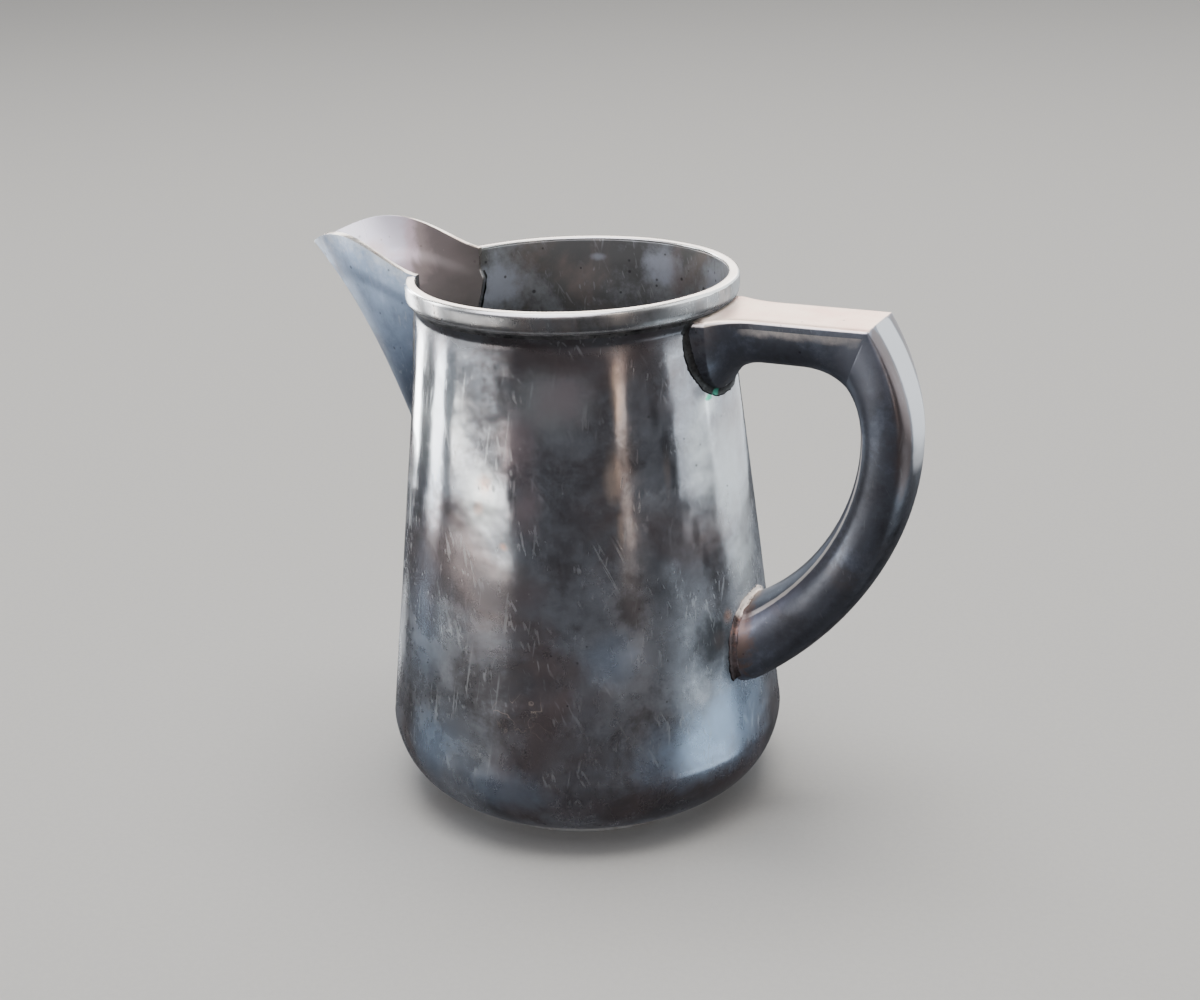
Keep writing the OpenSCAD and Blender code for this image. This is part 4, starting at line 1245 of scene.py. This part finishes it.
def make_stage(studio, look):
    """The floor, the softboxes, the dim room and the camera."""
    half = studio.floor_size / 2
    steps = np.linspace(-half, half, 9)
    x, y = np.meshgrid(steps, steps, indexing="ij")
    floor = grid_object("floor", np.stack([x, y, np.zeros_like(x)], -1), flip=True)
    floor.data.materials.append(floor_material(look))
    # The metal mirrors the dim room and the sheets of light instead of the floor.
    floor.visible_glossy = False

    cool, pale, warm = (0.85, 0.94, 1.0), (0.97, 0.99, 1.0), (1.0, 0.80, 0.66)
    panel("overhead", 116, 0.15, 0.95, (1.1, 1.0), studio.overhead, (1.0, 0.98, 0.95), seen_by_floor=True)
    room = panel("room light", 90, 0.5, 2.2, (4.0, 4.0), studio.ceiling, (1.0, 0.99, 0.97),
                 seen_by_floor=True)
    room.visible_glossy = False
    panel("behind", 112, 1.3, 0.28, (1.5, 0.65), studio.behind, (1.0, 0.90, 0.82))
    panel("front top", -94, 0.75, 0.25, (1.6, 1.3), studio.front, (0.91, 0.90, 1.0))
    for name, azimuth, distance, base, size, share, colour in (
            ("left strip", 157, 0.36, -0.026, (0.085, 0.33), 2.0, pale),
            ("left bar", 191, 0.36, -0.018, (0.08, 0.33), 1.0, pale),
            ("left card", 212, 0.42, -0.02, (0.26, 0.42), 0.035, cool),
            ("top strip", 222, 0.40, 0.049, (0.30, 0.007), 0.8, pale),
            ("front card", 229, 0.40, -0.008, (0.32, 0.030), 0.7, (1.0, 0.97, 0.92)),
            ("low strip", 149, 0.36, -0.125, (0.02, 0.035), 0.7, pale),
            ("warm strip", -34, 0.60, -0.03, (0.07, 0.50), 0.2, warm)):
        panel(name, azimuth, distance, base, size, studio.left * share, colour, soft=False)
    panel("right sheet", 65, 0.55, -0.11, (0.66, 0.80), studio.right, (0.90, 0.96, 1.0), soft=False)
    panel("side sheet", 20, 0.55, -0.035, (0.34, 0.70), studio.right, (0.92, 0.97, 1.0), soft=False)
    panel("low right sheet", 8, 0.55, -0.30, (0.36, 0.17), studio.right, (0.80, 0.92, 1.0), soft=False)

    world = bpy.data.worlds.new("Room")
    world.use_nodes = True
    bpy.context.scene.world = world
    tree = world.node_tree
    up = add(tree, "SeparateXYZ", {"Vector": add(tree, "TexCoord").outputs["Generated"]}).outputs["Z"]
    sky = ramp(tree, calc(tree, "MULTIPLY_ADD", up, 0.5, 0.5), [
        (0.0, (0.10, 0.10, 0.11)), (0.36, (0.13, 0.135, 0.15)), (0.47, (0.16, 0.165, 0.18)),
        (0.56, (0.30, 0.30, 0.31)), (1.0, (0.42, 0.42, 0.42))])
    tree.links.new(sky, tree.nodes["Background"].inputs["Color"])
    tree.nodes["Background"].inputs["Strength"].default_value = studio.room

    data = bpy.data.cameras.new("Camera")
    data.lens = studio.lens
    data.sensor_width = 36
    data.sensor_fit = "HORIZONTAL"
    data.clip_start, data.clip_end = 0.01, 20
    camera = bpy.data.objects.new("Camera", data)
    bpy.context.scene.collection.objects.link(camera)
    forward = Vector((-np.sin(studio.azimuth) * np.cos(studio.elevation),
                      np.cos(studio.azimuth) * np.cos(studio.elevation), -np.sin(studio.elevation)))
    aim = Vector(studio.aim)
    camera.location = aim - forward * studio.distance
    turn = forward.to_track_quat("-Z", "Y").to_matrix()
    camera.rotation_mode = "QUATERNION"
    camera.rotation_quaternion = (turn @ Matrix.Rotation(studio.roll, 3, "Z")).to_quaternion()
    bpy.context.scene.camera = camera


# ---------- Add-on ----------


def colour_property(name, description, default):
    return bpy.props.FloatVectorProperty(name=name, description=description, default=default, size=3,
                                         min=0, max=1, subtype="COLOR")


class JugLook(bpy.types.PropertyGroup):
    """Colours and gloss of the jug's finishes."""

    body_pale: colour_property("Body, least tarnished", "The thinnest tarnish", (0.58, 0.61, 0.66))
    body_middle: colour_property("Body, middle", "Colour of the middling tarnish", (0.33, 0.345, 0.38))
    # Also the painted shade patches between the body's bright reflections.
    body_dark: colour_property("Body, darkest", "Colour of the deepest tarnish", (0.15, 0.145, 0.155))
    body_warm: colour_property("Body, warm", "Brown and purple cast of tarnish", (0.28, 0.23, 0.24))
    brown: colour_property("Brown patches", "Brown bloom in the middle of the body", (0.21, 0.165, 0.155))
    # Also the painted reflection of the sheet of light at the body's lower right.
    slate: colour_property("Slate patches", "Blue-grey bloom low on the body", (0.45, 0.57, 0.74))
    # Also laid where the body's bright reflections fall, partly a painted highlight.
    pale_silver: colour_property("Rubbed silver", "Silver rubbed free of tarnish", (0.62, 0.65, 0.66))
    copper: colour_property("Copper", "Copper showing through the plate", (0.62, 0.40, 0.32))
    rose: colour_property("Rose bloom", "Dusky rose bloom beside the bright part", (0.52, 0.43, 0.45))
    # Also the painted reflection of the warm strip of light in the body.
    warm_streak: colour_property("Warm streak", "Colour of the dried runs", (0.58, 0.48, 0.42))
    verdigris: colour_property("Verdigris", "Green corrosion by the upper joint", (0.08, 0.42, 0.28))
    # Also painted shade in the cove under the moulding, on the moulding's underside and on the handle, and
    # painted dark reflections on the body, besides real grime and pits.
    black: colour_property("Grime", "Near-black grime in the corners", (0.02, 0.02, 0.022))
    # Also the painted highlight along the moulding's lower edge.
    bright: colour_property("Bright silver", "Edges worn bright", (0.82, 0.82, 0.80))
    spout_slate: colour_property("Spout", "Slate blue of the spout's outside", (0.33, 0.42, 0.58))
    handle_flank: colour_property("Handle's flank", "Charcoal of the handle's sides", (0.16, 0.17, 0.20))
    handle_sheen: colour_property("Handle's sheen", "Blue-grey sheen on the sides", (0.33, 0.37, 0.46))
    handle_top: colour_property("Handle's top", "Warm cream of the top arm", (1.0, 0.84, 0.73))
    handle_top_rose: colour_property("Handle's top, rose", "Rose cast of the top arm", (0.92, 0.66, 0.58))
    ridge_brown: colour_property("Handle's ridge", "Brown of the worn ridge", (0.13, 0.098, 0.09))
    floor: colour_property("Floor", "Colour of the plain floor", (0.72, 0.71, 0.69))
    body_gloss: bpy.props.FloatProperty(name="Body roughness", default=0.11, min=0.05, max=0.6,
                                        description="Roughness of the cleanest metal", subtype="FACTOR")


class JugStudio(bpy.types.PropertyGroup):
    """Camera and lights."""

    floor_size: bpy.props.FloatProperty(name="Floor size", description="Side of the square floor",
                                        default=8.0, unit="LENGTH")
    overhead: bpy.props.FloatProperty(name="Overhead", description="Strength of the overhead softbox",
                                      default=5.0, min=0)
    behind: bpy.props.FloatProperty(name="Behind", description="Strength of the warm sheet behind",
                                    default=5.0, min=0)
    front: bpy.props.FloatProperty(name="Front", description="Strength of the sheet above the camera",
                                   default=3.4, min=0)
    ceiling: bpy.props.FloatProperty(name="Ceiling", description="Strength of the room light on the floor",
                                     default=0.55, min=0)
    left: bpy.props.FloatProperty(name="Left", description="Strength of the strips on the left",
                                  default=10.0, min=0)
    right: bpy.props.FloatProperty(name="Right", description="Strength of the sheet on the right",
                                   default=1.9, min=0)
    room: bpy.props.FloatProperty(name="Room", description="Strength of the room's own light",
                                  default=1.0, min=0)
    lens: bpy.props.FloatProperty(name="Lens", description="Focal length of the camera", default=54.0,
                                  subtype="DISTANCE_CAMERA", unit="CAMERA")
    azimuth: bpy.props.FloatProperty(name="Azimuth", description="Turn of the camera round the jug",
                                     default=np.radians(26.33), subtype="ANGLE", unit="ROTATION")
    elevation: bpy.props.FloatProperty(name="Elevation", description="Height of the camera as an angle",
                                       default=np.radians(20.65), subtype="ANGLE", unit="ROTATION")
    roll: bpy.props.FloatProperty(name="Roll", description="Tilt of the camera",
                                  default=np.radians(-1.87), subtype="ANGLE", unit="ROTATION")
    distance: bpy.props.FloatProperty(name="Distance", default=0.36, unit="LENGTH",
                                      description="From the camera to the point it looks at")
    aim: bpy.props.FloatVectorProperty(name="Aim", description="The point that the camera looks at",
                                       default=(-0.0059, 0.0202, 0.0471), size=3, subtype="TRANSLATION",
                                       unit="LENGTH")


class JUG_OT_effects(bpy.types.Operator):
    """Builds the node groups that the finishes share"""

    bl_idname = "jug.effects"
    bl_label = "Shared effects"

    def execute(self, context):
        make_groups()
        return {"FINISHED"}


class JUG_OT_body(bpy.types.Operator):
    """Builds the tapering body"""

    bl_idname = "jug.body"
    bl_label = "Body"

    def execute(self, context):
        make_body(context.scene.jug_look)
        return {"FINISHED"}


class JUG_OT_rim(bpy.types.Operator):
    """Builds the rim moulding and its solder"""

    bl_idname = "jug.rim"
    bl_label = "Rim"

    def execute(self, context):
        make_rim(context.scene.jug_look)
        return {"FINISHED"}


class JUG_OT_spout(bpy.types.Operator):
    """Builds the spout"""

    bl_idname = "jug.spout"
    bl_label = "Spout"

    def execute(self, context):
        make_spout(context.scene.jug_look)
        return {"FINISHED"}


class JUG_OT_spout_solder(bpy.types.Operator):
    """Builds the solder along the spout's joint"""

    bl_idname = "jug.spout_solder"
    bl_label = "Spout solder"

    def execute(self, context):
        make_spout_solder(context.scene.jug_look)
        return {"FINISHED"}


class JUG_OT_handle(bpy.types.Operator):
    """Builds both halves of the handle"""

    bl_idname = "jug.handle"
    bl_label = "Handle"

    def execute(self, context):
        make_handle(context.scene.jug_look)
        return {"FINISHED"}


class JUG_OT_handle_solder(bpy.types.Operator):
    """Builds the solder at the handle's two joints"""

    bl_idname = "jug.handle_solder"
    bl_label = "Handle solder"

    def execute(self, context):
        make_handle_solder(context.scene.jug_look)
        return {"FINISHED"}


class JUG_OT_foot(bpy.types.Operator):
    """Builds the foot ring, the base and its solder"""

    bl_idname = "jug.foot"
    bl_label = "Foot and base"

    def execute(self, context):
        make_foot(context.scene.jug_look)
        return {"FINISHED"}


class JUG_OT_stage(bpy.types.Operator):
    """Builds the floor, the lights and the camera"""

    bl_idname = "jug.stage"
    bl_label = "Stage"

    def execute(self, context):
        make_stage(context.scene.jug_studio, context.scene.jug_look)
        return {"FINISHED"}


OPERATORS = (JUG_OT_effects, JUG_OT_body, JUG_OT_rim, JUG_OT_spout, JUG_OT_spout_solder,
             JUG_OT_handle, JUG_OT_handle_solder, JUG_OT_foot, JUG_OT_stage)


class JUG_PT_panel(bpy.types.Panel):
    """Lists the jug's builders, colours and lights"""

    bl_idname = "JUG_PT_panel"
    bl_label = "Cream Jug"
    bl_space_type = "VIEW_3D"
    bl_region_type = "UI"
    bl_category = "Jug"

    def draw(self, context):
        for operator in OPERATORS:
            self.layout.operator(operator.bl_idname)
        for group in (context.scene.jug_look, context.scene.jug_studio):
            for key in group.__annotations__:
                self.layout.prop(group, key)


CLASSES = (JugLook, JugStudio, *OPERATORS, JUG_PT_panel)


def register():
    for cls in CLASSES:
        bpy.utils.register_class(cls)
    bpy.types.Scene.jug_look = bpy.props.PointerProperty(type=JugLook)
    bpy.types.Scene.jug_studio = bpy.props.PointerProperty(type=JugStudio)


def unregister():
    del bpy.types.Scene.jug_studio
    del bpy.types.Scene.jug_look
    for cls in reversed(CLASSES):
        bpy.utils.unregister_class(cls)


def main():
    register()
    for operator in OPERATORS:
        getattr(bpy.ops.jug, operator.bl_idname.split(".")[1])()


if __name__ == "__main__":
    main()
